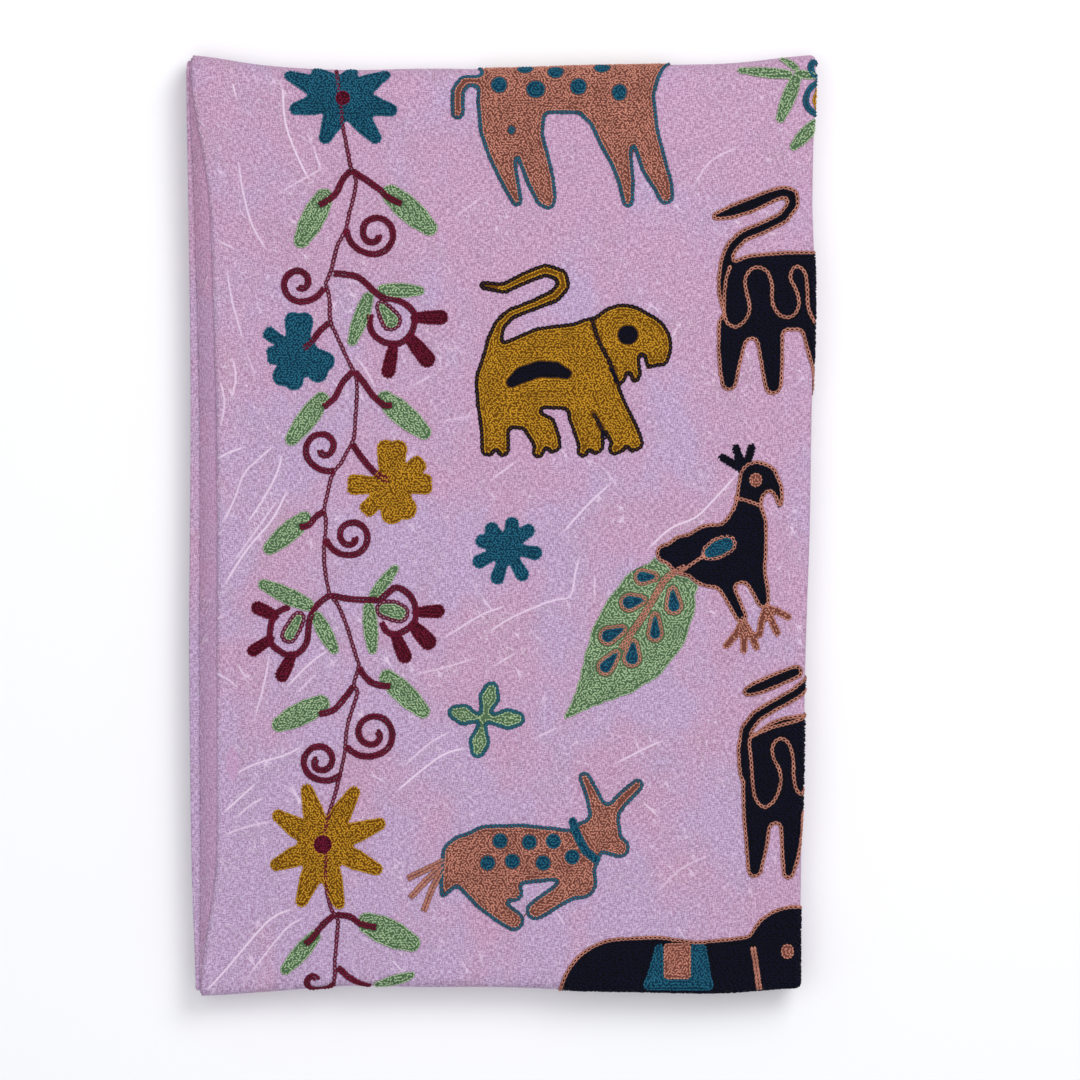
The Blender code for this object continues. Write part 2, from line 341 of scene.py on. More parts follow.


# Fine creases where the cloth was once pressed: how clear each is, and its way over the plan in mm from its
# middle
FineCrease = namedtuple("FineCrease", "clear way")
FINE_CREASES = (
    FineCrease(0.9, ((-167, 279), (-163, 264))),
    FineCrease(1.0, ((-135, 278), (-133, 250), (-125, 228), (-118, 214))),
    FineCrease(0.8, ((-162, 226), (-160, 210), (-154, 187), (-144, 170))),
    FineCrease(0.8, ((-116, 236), (-110, 218))),
    FineCrease(0.6, ((-138, 206), (-124, 214), (-108, 223))),
    FineCrease(1.0, ((-187, 212), (-186, 199), (-181, 188), (-179, 174))),
    FineCrease(0.8, ((-177, 178), (-163, 171))),
    FineCrease(0.7, ((-170, 162), (-166, 138), (-159, 114))),
    FineCrease(0.7, ((-183, 122), (-179, 156))),
    FineCrease(0.8, ((-166, 104), (-164, 92), (-167, 78))),
    FineCrease(0.7, ((-174, 92), (-171, 76), (-174, 60))),
    FineCrease(0.5, ((-159, 112), (-151, 90))),
    FineCrease(0.9, ((-192, 52), (-186, 44), (-185, 31), (-178, 14))),
    FineCrease(0.8, ((-192, 6), (-183, -11), (-177, -20))),
    FineCrease(0.9, ((-176, 41), (-169, 45), (-158, 49))),
    FineCrease(0.8, ((-173, 0), (-165, 16), (-159, 32), (-150, 41), (-140, 50))),
    FineCrease(0.9, ((-157, 1), (-149, 13), (-139, 31), (-135, 45))),
    FineCrease(1.0, ((-173, -40), (-157, -15), (-141, 4), (-131, 24))),
    FineCrease(0.7, ((-168, -26), (-152, -4), (-136, 19))),
    FineCrease(0.7, ((-190, -50), (-180, -58), (-170, -56))),
    FineCrease(0.7, ((-90, 105), (-84, 98), (-77, 85))),
    FineCrease(0.6, ((-57, 85), (-39, 95))),
    FineCrease(0.5, ((-40, 64), (-12, 69))),
    FineCrease(0.8, ((-36, -71), (-12, -56), (4, -50))),
    FineCrease(0.7, ((-153, -123), (-146, -97), (-143, -79))),
    FineCrease(0.9, ((-134, -102), (-118, -86), (-106, -77))),
    FineCrease(0.6, ((-128, -106), (-112, -90))),
    FineCrease(0.7, ((-186, -88), (-170, -95), (-163, -101))),
    FineCrease(0.9, ((-167, -156), (-151, -148), (-134, -143), (-122, -137))),
    FineCrease(1.0, ((-172, -179), (-161, -169), (-151, -160))),
    FineCrease(0.8, ((-165, -183), (-155, -174), (-146, -169))),
    FineCrease(0.7, ((-173, -193), (-156, -187), (-141, -184))),
    FineCrease(1.0, ((-185, -292), (-170, -276), (-144, -246), (-128, -238))),
    FineCrease(0.8, ((-159, -284), (-134, -252), (-122, -244))),
    FineCrease(1.0, ((-66, -167), (-47, -151), (-34, -142), (-20, -138))),
    FineCrease(0.7, ((-62, -152), (-43, -135), (-30, -128))),
    FineCrease(0.6, ((-54, -93), (-33, -88), (-14, -82))),
    FineCrease(1.0, ((91, -16), (106, -2), (122, 5), (134, 17), (148, 32))),
    FineCrease(0.9, ((38, -6), (54, 12), (71, 28))),
    FineCrease(0.7, ((-7, 27), (12, 41))),
    FineCrease(0.6, ((65, 35), (74, 24))),
    FineCrease(0.8, ((-8, -67), (8, -57), (32, -47), (44, -44), (47, -30), (50, -19))),
    FineCrease(0.6, ((59, -48), (59, -30))),
    FineCrease(0.7, ((-6, -89), (12, -78))),
    FineCrease(0.7, ((20, -133), (38, -125))),
    FineCrease(0.8, ((70, -149), (90, -139), (103, -133))),
    FineCrease(0.6, ((34, -238), (41, -249))),
    FineCrease(0.6, ((88, 96), (104, 112), (112, 126))),
    FineCrease(0.6, ((120, 210), (131, 226), (150, 236))),
    FineCrease(0.5, ((-30, 190), (-8, 206))),
    FineCrease(0.5, ((96, -230), (112, -214), (132, -204))),
)
CREASE_REACH = 5.0
FAR_FROM_CREASE = 9.0
CREASE_CHANNELS = 2
in_top = (c_level > 1.4 * LAYER_PITCH) & (r_level > 1.4 * STRIP_PITCH)
plan_x = (lying[:, 0] - onto_surface[0] - ACROSS_SPACING / 2) / MM
plan_y = (lying[:, 1] - onto_surface[1] - ALONG_SPACING / 2 - TURN_OFFSET) / MM
for channel in range(CREASE_CHANNELS):
    beside = np.full(len(lying), FAR_FROM_CREASE)
    clearness = np.zeros(len(lying))
    nearest = np.full(len(lying), CREASE_REACH)
    for crease in FINE_CREASES[channel::CREASE_CHANNELS]:
        way = fine_line(crease.way, 3)
        last = len(way) - 2
        for index, (start, end) in enumerate(zip(way, way[1:])):
            share, aside, length = to_segment(plan_x, plan_y, *start, *end)
            past = np.maximum(np.abs(share - 0.5) - 0.5, 0.0) * length
            fade = np.ones(len(lying))
            if index == 0:
                fade = np.minimum(fade, share)
            if index == last:
                fade = np.minimum(fade, 1 - share)
            here = in_top & (np.hypot(aside, past) < nearest)
            nearest[here] = np.hypot(aside, past)[here]
            beside[here], clearness[here] = aside[here], crease.clear * np.clip(fade, 0.0, 1.0)[here]
    for name, values in (("crease_beside", beside), ("crease_clear", clearness)):
        attribute = cover_mesh.attributes.new(f"{name}_{channel}", "FLOAT", "POINT")
        attribute.data.foreach_set("value", values)


def shade(red, green, blue):
    """A colour from its three 8-bit values, as the shaders take it."""
    return tuple(((value / 255 + 0.055) / 1.055) ** 2.4 for value in (red, green, blue)) + (1.0,)


def node(tree, kind, inputs=(), **settings):
    """Adds a node to a tree, sets it, and links or fills its inputs by name or place."""
    made = tree.nodes.new("ShaderNode" + kind)
    for name, value in settings.items():
        setattr(made, name, value)
    for name, value in dict(inputs).items():
        if isinstance(value, bpy.types.NodeSocket):
            tree.links.new(value, made.inputs[name])
        else:
            made.inputs[name].default_value = value
    return made


def sum_up(tree, operation, one, other):
    """One sum of two values."""
    return node(tree, "Math", {0: one, 1: other}, operation=operation).outputs[0]


def eased_range(tree, value, low, high, to_low=0.0, to_high=1.0):
    """A value taken smoothly from one range to another."""
    inputs = {"Value": value, "From Min": low, "From Max": high, "To Min": to_low, "To Max": to_high}
    return node(tree, "MapRange", inputs, interpolation_type="SMOOTHSTEP").outputs[0]


def mixed(tree, share, one, other, blend="MIX"):
    """Two colours mixed."""
    inputs = {0: share, 6: one, 7: other}
    return node(tree, "Mix", inputs, data_type="RGBA", blend_type=blend).outputs[2]


def noise(tree, place, detail=1.0, output=0):
    """Soft flat noise at a place that is given in the noise's own unit."""
    inputs = {"Vector": place, "Scale": 1.0, "Detail": detail, "Roughness": 0.55}
    return node(tree, "TexNoise", inputs, noise_dimensions="2D").outputs[output]


def stretched(tree, place, x, y, turn=0.0):
    """A place in mm turned, then divided by these two lengths."""
    turned = node(tree, "VectorRotate", {"Vector": place, "Angle": turn}, rotation_type="Z_AXIS")
    share = {0: turned.outputs[0], 1: (1 / x, 1 / y, 1.0)}
    return node(tree, "VectorMath", share, operation="MULTIPLY").outputs[0]


def look_group(name, colours):
    """A node group that takes these colours and gives one colour and a height, and its input."""
    group = bpy.data.node_groups.new(name, "ShaderNodeTree")
    for colour in colours:
        group.interface.new_socket(name=colour, in_out="INPUT", socket_type="NodeSocketColor")
    group.interface.new_socket(name="Color", in_out="OUTPUT", socket_type="NodeSocketColor")
    group.interface.new_socket(name="Height", in_out="OUTPUT", socket_type="NodeSocketFloat")
    return group, group.nodes.new("NodeGroupInput")


def give(group, colour, height):
    """Links what a node group gives."""
    output = group.nodes.new("NodeGroupOutput")
    group.links.new(colour, output.inputs["Color"])
    group.links.new(height, output.inputs["Height"])


def cotton_material(name, group, colours, bump, roughness, specular, sheen):
    """A matte cotton from a node group: its colours, and the strength and depth of its relief."""
    material = bpy.data.materials.new(name)
    material.use_nodes = True
    tree = material.node_tree
    shader = tree.nodes["Principled BSDF"]
    look = tree.nodes.new("ShaderNodeGroup")
    look.node_tree = group
    for socket, colour in colours.items():
        look.inputs[socket].default_value = colour
    inputs = {"Height": look.outputs["Height"], "Strength": bump[0], "Distance": bump[1]}
    tree.links.new(look.outputs["Color"], shader.inputs["Base Color"])
    tree.links.new(node(tree, "Bump", inputs).outputs[0], shader.inputs["Normal"])
    shader.inputs["Roughness"].default_value = roughness
    shader.inputs["Specular IOR Level"].default_value = specular
    shader.inputs["Sheen Weight"].default_value = sheen
    return material


# Napped cotton: threads of two shades, a slow drift from pink to lilac that is partly random and partly
# painted sheen towards the lower left, and fine crush lines painted lighter, partly wear and partly painted
# highlight
napped, given = look_group("napped cotton", ("Deep", "Pale", "Cool", "Worn"))
flat = node(napped, "UVMap", uv_map="flat_cloth").outputs[0]
flat = node(napped, "VectorMath", {0: flat, 1: (1000, 1000, 0)}, operation="MULTIPLY").outputs[0]
wefts = noise(napped, stretched(napped, flat, 2.6, 0.60), 1.0)
warps = noise(napped, stretched(napped, flat, 0.60, 2.6), 1.0)
heather = eased_range(napped, sum_up(napped, "ADD", wefts, warps), 0.72, 1.28)
place = node(napped, "TexCoord").outputs["Object"]
# Painted sheen: the lilac share rises towards the lower left of the cloth, on top of a random cloud
painted_sheen_slope = node(napped, "VectorMath", {0: place, 1: (-0.35, -0.45, 0)}, operation="DOT_PRODUCT")
cloud = noise(napped, stretched(napped, flat, 52, 70), 3.0)
drift = sum_up(napped, "ADD", cloud, painted_sheen_slope.outputs["Value"])
colour = mixed(napped, heather, given.outputs["Deep"], given.outputs["Pale"])
lilac_drift_and_sheen_share = eased_range(napped, drift, 0.38, 0.68)
colour = mixed(napped, lilac_drift_and_sheen_share, colour, given.outputs["Cool"], "MULTIPLY")
sway = noise(napped, stretched(napped, flat, 24, 24), 1.0, 1)
sway = node(napped, "VectorMath", {0: sway, 1: (7, 7, 0), 2: flat}, operation="MULTIPLY_ADD")
crush = None
for reach, thin, turn, clear in ((34, 5, -0.85, 0.7), (24, 4, -1.2, 0.55), (22, 4, 0.5, 0.5)):
    waves = noise(napped, stretched(napped, sway.outputs[0], reach, thin, turn), 0.0)
    away = sum_up(napped, "ABSOLUTE", sum_up(napped, "SUBTRACT", waves, 0.5), 0.0)
    line = eased_range(napped, away, 0.028, 0.0)
    here = noise(napped, stretched(napped, flat, 1.1 * reach, 0.9 * reach, turn), 0.0)
    part = sum_up(napped, "MULTIPLY", line, eased_range(napped, here, 0.50, 0.66, 0.0, clear))
    crush = part if crush is None else sum_up(napped, "MAXIMUM", crush, part)
for channel in range(CREASE_CHANNELS):
    aside = node(napped, "Attribute", attribute_name=f"crease_beside_{channel}").outputs["Fac"]
    clear = node(napped, "Attribute", attribute_name=f"crease_clear_{channel}").outputs["Fac"]
    near = eased_range(napped, sum_up(napped, "ABSOLUTE", aside, 0.0), 1.25, 0.1)
    crush = sum_up(napped, "MAXIMUM", crush, sum_up(napped, "MULTIPLY", near, clear))
# Crush lines and fine creases take the lighter colour, partly wear of the nap and partly a painted highlight
# on their ridges
colour = mixed(napped, sum_up(napped, "MULTIPLY", crush, 0.8), colour, given.outputs["Worn"])
raised = sum_up(napped, "ADD", crush, sum_up(napped, "MULTIPLY", heather, 0.25))
give(napped, colour, raised)

# The wrong side first, because the thickness modifier gives the right side the second material
CottonSide = namedtuple("CottonSide", "name deep pale cool worn")
COTTON_SIDES = (
    # The wrong side has its own redder pink, painted lighter to make up for the shade between the folded
    # layers
    CottonSide(
        "cotton wrong side", (184, 134, 168), (216, 172, 204), (0.94, 1.04, 1.06, 1), (224, 194, 218)
    ),
    CottonSide(
        "cotton right side", (164, 122, 152), (212, 176, 204), (0.94, 1.08, 1.12, 1), (240, 218, 238)
    ),
)
for side in COTTON_SIDES:
    colours = {
        "Deep": shade(*side.deep), "Pale": shade(*side.pale), "Cool": side.cool, "Worn": shade(*side.worn)
    }
    cover_mesh.materials.append(
        cotton_material(side.name, napped, colours, (0.8, 0.0006), roughness=0.95, specular=0.15, sheen=0.12)
    )
thickness.material_offset = 1


# The vine down the left side: chain stitch in thick cotton, wine for its stem, twigs and curls,
# green leaves, and stars and blossoms in teal and mustard. One loop of yarn is one stitch.
SURFACE = CLOTH_THICK / 2
# Each yarn by two colours: the deep one for the stitch in painted shade, the bright one for its lit top
YARNS = {
    "wine": ((62, 2, 20), (122, 22, 54)),
    "green": ((78, 106, 74), (176, 202, 158)),
    "teal": ((6, 52, 74), (38, 112, 138)),
    "mustard": ((106, 66, 4), (212, 158, 42)),
    "terracotta": ((112, 64, 54), (214, 146, 126)),
    "navy": ((2, 2, 12), (12, 13, 40)),
}
BED_DEPTH = 0.5
BED_TOP = 0.0003

yarn_look, given = look_group("chain stitch yarn", ("Deep", "Bright"))
tone = node(yarn_look, "Attribute", attribute_name="stitch_tone").outputs["Fac"]
yarn_top = node(yarn_look, "Attribute", attribute_name="yarn_top").outputs["Fac"]
place = node(yarn_look, "TexCoord").outputs["Object"]
place = node(yarn_look, "VectorMath", {0: place, 1: (1000, 1000, 1000)}, operation="MULTIPLY")
place = place.outputs[0]
fibres = noise(yarn_look, stretched(yarn_look, place, 0.35, 0.35), 0.0)
drift = noise(yarn_look, stretched(yarn_look, place, 12, 12))
# Painted shade and light: each stitch is darker at its foot and sides and lighter on its top, by its height
# share, with a random tone per stitch and a slow random drift
lit = sum_up(yarn_look, "MULTIPLY", eased_range(yarn_look, yarn_top, -0.1, 0.95), 0.72)
lit = sum_up(yarn_look, "ADD", lit, sum_up(yarn_look, "MULTIPLY", tone, 0.22))
drift = sum_up(yarn_look, "MULTIPLY", sum_up(yarn_look, "SUBTRACT", drift, 0.5), 0.5)
lit = sum_up(yarn_look, "ADD", lit, drift)
colour = mixed(yarn_look, lit, given.outputs["Deep"], given.outputs["Bright"])
give(yarn_look, colour, fibres)

yarn_materials = {}
for name, (deep, bright) in YARNS.items():
    colours = {"Deep": shade(*deep), "Bright": shade(*bright)}
    yarn_materials[name] = cotton_material(
        name + " yarn", yarn_look, colours, (0.5, 0.0002), roughness=0.85, specular=0.12, sheen=0.02
    )


def loop_template(width, yarn):
    """A closed drop of yarn, its round end towards the next stitch: points and faces."""
    loop = bmesh.new()
    bmesh.ops.create_circle(loop, segments=3, radius=0.1, matrix=Matrix.Rotation(math.pi / 2, 4, "Y"))
    bmesh.ops.translate(loop, verts=loop.verts, vec=(0, 1, 0))
    ring = list(loop.edges) + list(loop.verts)
    bmesh.ops.spin(
        loop, geom=ring, cent=(0, 0, 0), axis=(0, 0, 1), angle=2 * math.pi, steps=8, use_merge=True
    )
    bmesh.ops.recalc_face_normals(loop, faces=loop.faces)
    points = []
    for vert in loop.verts:
        angle = math.atan2(vert.co.y, vert.co.x)
        out = math.hypot(vert.co.x, vert.co.y) - 1
        side = (width / 2 - yarn) * math.sin(angle) * (1 + 0.25 * math.cos(angle))
        along = 0.56 + 0.46 * math.cos(angle)
        swell = yarn / 0.1
        along += out * math.cos(angle) * swell / 2.7
        side += out * math.sin(angle) * swell
        lift = yarn * 0.75 + vert.co.z * swell + yarn * 0.7 * max(math.cos(angle + math.pi), 0.0) ** 2
        points.append((along, side, lift))
    faces = [[vert.index for vert in face.verts] for face in loop.faces]
    loop.free()
    return points, faces


def grain_template(yarn):
    """One leg of a stitch in packed rows, as a grain of yarn: points and faces."""
    grain = bmesh.new()
    bmesh.ops.create_uvsphere(grain, u_segments=4, v_segments=3, radius=1.0)
    bmesh.ops.rotate(grain, verts=grain.verts, cent=(0, 0, 0), matrix=Matrix.Rotation(math.pi / 2, 3, "Y"))
    points, fat = [], 1.15 * yarn
    for vert in grain.verts:
        bow = 0.35 * (1 - vert.co.x**2)
        lift = yarn * 0.8 + fat * vert.co.z + 0.25 * bow
        points.append((0.5 + 0.5 * vert.co.x, fat * vert.co.y + bow, lift))
    faces = [[vert.index for vert in face.verts] for face in grain.faces]
    grain.free()
    return points, faces


# Rows of loops, open ones for lines and closer ones for twigs, and grains for packed ground, in mm
StitchKind = namedtuple("StitchKind", "step pitch template")
LINE = StitchKind(2.9, 2.8, loop_template(2.8, 0.60))
TWIG = StitchKind(2.5, 2.0, loop_template(2.3, 0.68))
FILL = StitchKind(2.5, 1.75, grain_template(0.54))
BROAD = StitchKind(2.7, 1.85, grain_template(0.57))


def brush(x, y, strokes, soft):
    """How far points lie outside tapered strokes, each a row of (x, y, half width), softly joined."""
    total = np.full(x.shape, 1000.0)
    for stroke in strokes:
        nearest = np.full(x.shape, 1000.0)
        for (x0, y0, w0), (x1, y1, w1) in zip(stroke, stroke[1:] or stroke):
            along_x, along_y = x1 - x0, y1 - y0
            square = max(along_x**2 + along_y**2, 1e-9)
            share = np.clip(((x - x0) * along_x + (y - y0) * along_y) / square, 0.0, 1.0)
            away = np.hypot(x - x0 - share * along_x, y - y0 - share * along_y)
            nearest = np.minimum(nearest, away - w0 - share * (w1 - w0))
        part = np.clip(0.5 + 0.5 * (total - nearest) / soft, 0.0, 1.0)
        total = total + (nearest - total) * part - soft * part * (1 - part)
    return total


def triangles_at(x, y, depth, level):
    """The triangles of a grid, their corners' numbers turned so that the odd corner leads."""
    inside = (depth > level).ravel()
    number = np.arange(depth.size).reshape(depth.shape)
    low, right, up, far = number[:-1, :-1], number[:-1, 1:], number[1:, :-1], number[1:, 1:]
    corners = np.concatenate(
        [np.stack((low, right, far), -1).reshape(-1, 3), np.stack((low, far, up), -1).reshape(-1, 3)]
    )
    count = inside[corners].sum(1)
    odd = np.where(count == 1, inside[corners].argmax(1), (~inside[corners]).argmax(1))
    odd = (odd[:, None] + np.arange(3)) % 3
    return np.take_along_axis(corners, odd, 1), count


def crossings(x, y, depth, level, one, other):
    """Where the level lies between pairs of grid points. Each pair may be one point twice."""
    flat = depth.ravel()
    gap = flat[other] - flat[one]
    share = np.where(one == other, 0.0, (level - flat[one]) / np.where(gap == 0, 1.0, gap))
    one_x, one_y = x[one % len(x)], y[one // len(x)]
    return np.stack(
        (one_x + (x[other % len(x)] - one_x) * share, one_y + (y[other // len(x)] - one_y) * share), 1
    )


def pair_numbers(corners, size, one, other):
    """One number for each pair of corners, whichever comes first."""
    one, other = corners[:, one], corners[:, other]
    return np.minimum(one, other) * size + np.maximum(one, other)


def level_lines(x, y, depth, level):
    """The closed lines along which a grid of depths has one level."""
    corners, count = triangles_at(x, y, depth, level)
    corners = corners[(count == 1) | (count == 2)]
    size = depth.size
    ends = np.stack([pair_numbers(corners, size, 0, place) for place in (1, 2)], 1)
    if not len(ends):
        return []
    keys, pairs = np.unique(ends, return_inverse=True)
    points = crossings(x, y, depth, level, keys // size, keys % size)
    links = {}
    for one, other in pairs.reshape(-1, 2).tolist():
        links.setdefault(one, []).append(other)
        links.setdefault(other, []).append(one)
    lines = []
    while links:
        start, ends = links.popitem()
        line, before, here = [start], start, ends[0]
        while here != start and here in links:
            line.append(here)
            ends = links.pop(here)
            before, here = here, ends[1] if ends[0] == before else ends[0]
        lines.append(points[line + line[:1]])
    return lines


Region = namedtuple("Region", "x y depth")


def region(strokes, at=(0, 0), holes=(), soft=2.0, cell=1.2):
    """The ground that strokes cover, as a grid of depths inside its edge, all in mm."""
    knots = np.array([point for stroke in strokes for point in stroke])
    low = (knots[:, :2] - knots[:, 2:]).min(0) - 3
    high = (knots[:, :2] + knots[:, 2:]).max(0) + 3
    x, y = np.arange(low[0], high[0], cell), np.arange(low[1], high[1], cell)
    grid_x, grid_y = np.meshgrid(x, y)
    outside = brush(grid_x, grid_y, strokes, soft)
    for hole in holes:
        outside = np.maximum(outside, -brush(grid_x, grid_y, hole, 0.5))
    edge = np.concatenate(level_lines(x, y, -outside, 0.0))
    places = np.stack((grid_x.ravel(), grid_y.ravel()), 1)
    away = [
        np.sqrt(((part[:, None] - edge[None]) ** 2).sum(-1).min(1))
        for part in np.array_split(places, len(places) // 1200 + 1)
    ]
    depth = np.concatenate(away).reshape(grid_x.shape) * np.where(outside < 0, 1, -1)
    return Region(x + at[0], y + at[1], depth)


def to_cloth(points):
    """Points of the plan, in mm from its middle, as places on the flat cloth in metres."""
    wanted_x = points[:, 0] * MM + ACROSS_SPACING / 2
    wanted_y = points[:, 1] * MM + ALONG_SPACING / 2 + TURN_OFFSET
    x, y = wanted_x, wanted_y
    for _ in range(3):
        lying_x, lying_y = in_plan(x, y, STACK_HEIGHT)
        x, y = x + wanted_x - lying_x, y + wanted_y - lying_y
    return np.stack((x, y), 1)


def on_cloth(across, along, lift):
    """Where a point over the folded cloth's right side lies, from its place on the flat cloth."""
    outer = 1.5 * LAYER_PITCH
    reach = outer + SURFACE + lift
    turn = np.clip((across - ACROSS_SPACING) / (outer + SURFACE), 0.0, np.pi)
    x = np.minimum(across, ACROSS_SPACING) + reach * np.sin(turn)
    stand = reach * np.cos(turn)
    far = (along - ALONG_SPACING) / (1.5 * STRIP_PITCH + outer + SURFACE)
    near = -along / (0.5 * STRIP_PITCH + outer + SURFACE)
    far_turn, near_turn = np.clip(far, 0.0, np.pi), np.clip(near, 0.0, np.pi)
    past = np.maximum(far - np.pi, 0.0) * (1.5 * STRIP_PITCH + outer + SURFACE)
    y = np.clip(along, 0.0, ALONG_SPACING) - past
    y = y + (1.5 * STRIP_PITCH + stand) * np.sin(far_turn) - (0.5 * STRIP_PITCH + stand) * np.sin(near_turn)
    z = np.where(near > 0, 1.0 + 0.5 * np.cos(near_turn), 1.5 * np.cos(far_turn)) * STRIP_PITCH
    z = STACK_HEIGHT / 2 + z + stand * np.cos(far_turn) * np.cos(near_turn)
    return np.stack(as_it_lies(x, y, z), 1) + onto_surface


# No stitches are laid past these places on the flat cloth, where it has turned under at a fold
LAST_ACROSS = ACROSS_SPACING + 0.0068
FIRST_ALONG = -0.0145
LAST_ALONG = ALONG_SPACING + 0.0355
chance = np.random.default_rng(5)

# What is worked with one colour in one motif: points and faces, and each point's tone and its height share
# in the stitch, by which the yarn's painted shade is laid on
Work = namedtuple("Work", "points tones tops faces")


def laid(kind, starts, steps):
    """One stitch on the cloth for each start and step, from places on the flat cloth."""
    middles = starts + steps / 2
    kept = np.hypot(*steps.T) > 0.3 * kind.step * MM
    kept &= (middles[:, 0] < LAST_ACROSS) & (middles[:, 1] > FIRST_ALONG) & (middles[:, 1] < LAST_ALONG)
    starts, steps = starts[kept], steps[kept]
    if not len(starts):
        return None
    points, faces = kind.template
    points = np.array(points)
    aside = np.stack((-steps[:, 1], steps[:, 0]), 1)
    aside *= MM / np.hypot(*aside.T)[:, None]
    wide = chance.uniform(0.9, 1.1, (len(starts), 1))
    shift = chance.normal(0.0, 0.07, (len(starts), 1))
    flat = starts[:, None] + steps[:, None] * points[None, :, :1]
    flat = flat + aside[:, None] * (points[None, :, 1] * wide + shift)[:, :, None]
    lift = points[None, :, 2] * chance.uniform(0.88, 1.15, (len(starts), 1))
    placed = on_cloth(flat[:, :, 0].ravel(), flat[:, :, 1].ravel(), lift.ravel() * MM)
    tones = np.repeat(chance.uniform(0.0, 1.0, len(starts)), len(points))
    # Each point's height share in its stitch, from which the stitch's painted shade is taken
    tops = np.tile(np.clip(points[:, 2] / points[:, 2].max(), 0.0, 1.0), len(starts))
    all_faces = [
        np.array([face for face in faces if len(face) == sides])[None]
        + (np.arange(len(starts)) * len(points))[:, None, None]
        for sides in sorted({len(face) for face in faces})
    ]
    return Work(placed, tones, tops, [part.reshape(-1, part.shape[-1]) for part in all_faces])


def even_steps(places, step):
    """Even steps along a line of places: the start of each and its way."""
    run = np.concatenate(([0.0], np.cumsum(np.hypot(*np.diff(places, axis=0).T))))
    marks = np.linspace(0.0, run[-1], max(int(round(run[-1] / step)), 1) + 1)
    even = np.stack([np.interp(marks, run, places[:, axis]) for axis in (0, 1)], 1)
    return even[:-1], np.diff(even, axis=0)


def stitches(kind, lines):
    """Chain stitch along lines of plan points."""
    pairs = [even_steps(to_cloth(np.asarray(line, dtype=float)), kind.step * MM) for line in lines]
    starts, steps = (np.concatenate(parts) for parts in zip(*pairs))
    return laid(kind, starts, steps)


# In packed ground: the edge row's step and sway, how near the grains come to it, how far they lie
# apart from row to row, and how far they stray
EDGE_STEP, EDGE_SWAY, EDGE_GAP = 0.8, 0.40, 1.05
ROW_SPACING, STRAY = 0.87, 0.13


def packed(kind, ground, first=0.85, clear_of=(), clear=1.9):
    """Grains of yarn over a ground: a row along its edge, and inside it grains that turn to and fro."""
    x, y, depth = ground
    places, ways = [], []
    for line in level_lines(x, y, depth, first):
        starts, steps = even_steps(line, EDGE_STEP * kind.step)
        places.append(starts)
        ways.append(np.arctan2(steps[:, 1], steps[:, 0]) + chance.normal(0.0, EDGE_SWAY, len(starts)))
    grid_x, grid_y = np.meshgrid(
        np.arange(x[0], x[-1], kind.pitch), np.arange(y[0], y[-1], ROW_SPACING * kind.pitch)
    )
    hand = np.where((np.arange(grid_x.size) % grid_x.shape[1]) % 2 == 0, 1.0, -1.0)
    grid_x[1::2] += kind.pitch / 2
    inner = np.stack((grid_x.ravel(), grid_y.ravel()), 1)
    inner += chance.normal(0.0, STRAY * kind.pitch, inner.shape)
    column = np.clip(((inner[:, 0] - x[0]) / (x[1] - x[0])).astype(int), 0, len(x) - 2)
    row = np.clip(((inner[:, 1] - y[0]) / (y[1] - y[0])).astype(int), 0, len(y) - 2)
    here = depth[row, column]
    rise_x, rise_y = depth[row, column + 1] - here, depth[row + 1, column] - here
    share_x, share_y = (inner[:, 0] - x[column]) / (x[1] - x[0]), (inner[:, 1] - y[row]) / (y[1] - y[0])
    here = here + rise_x * share_x + rise_y * share_y
    kept = here > first + EDGE_GAP
    loose = np.clip((here[kept] - first) / 6.0, 0.0, 1.0)
    way = np.arctan2(rise_x[kept], -rise_y[kept]) + hand[kept] * (0.35 + 0.35 * loose)
    places.append(inner[kept])
    ways.append(way + chance.normal(0.0, 0.30 + 0.2 * loose))
    places, ways = np.concatenate(places), np.concatenate(ways)
    if len(clear_of):
        path = np.concatenate([fine_line(line) for line in clear_of])
        away = np.sqrt(((places[:, None] - path[None]) ** 2).sum(-1).min(1))
        places, ways = places[away > clear], ways[away > clear]
    if not len(places):
        return None
    half = np.stack((np.cos(ways), np.sin(ways)), 1) * kind.step / 2
    starts = to_cloth(places - half)
    return laid(kind, starts, to_cloth(places + half) - starts)


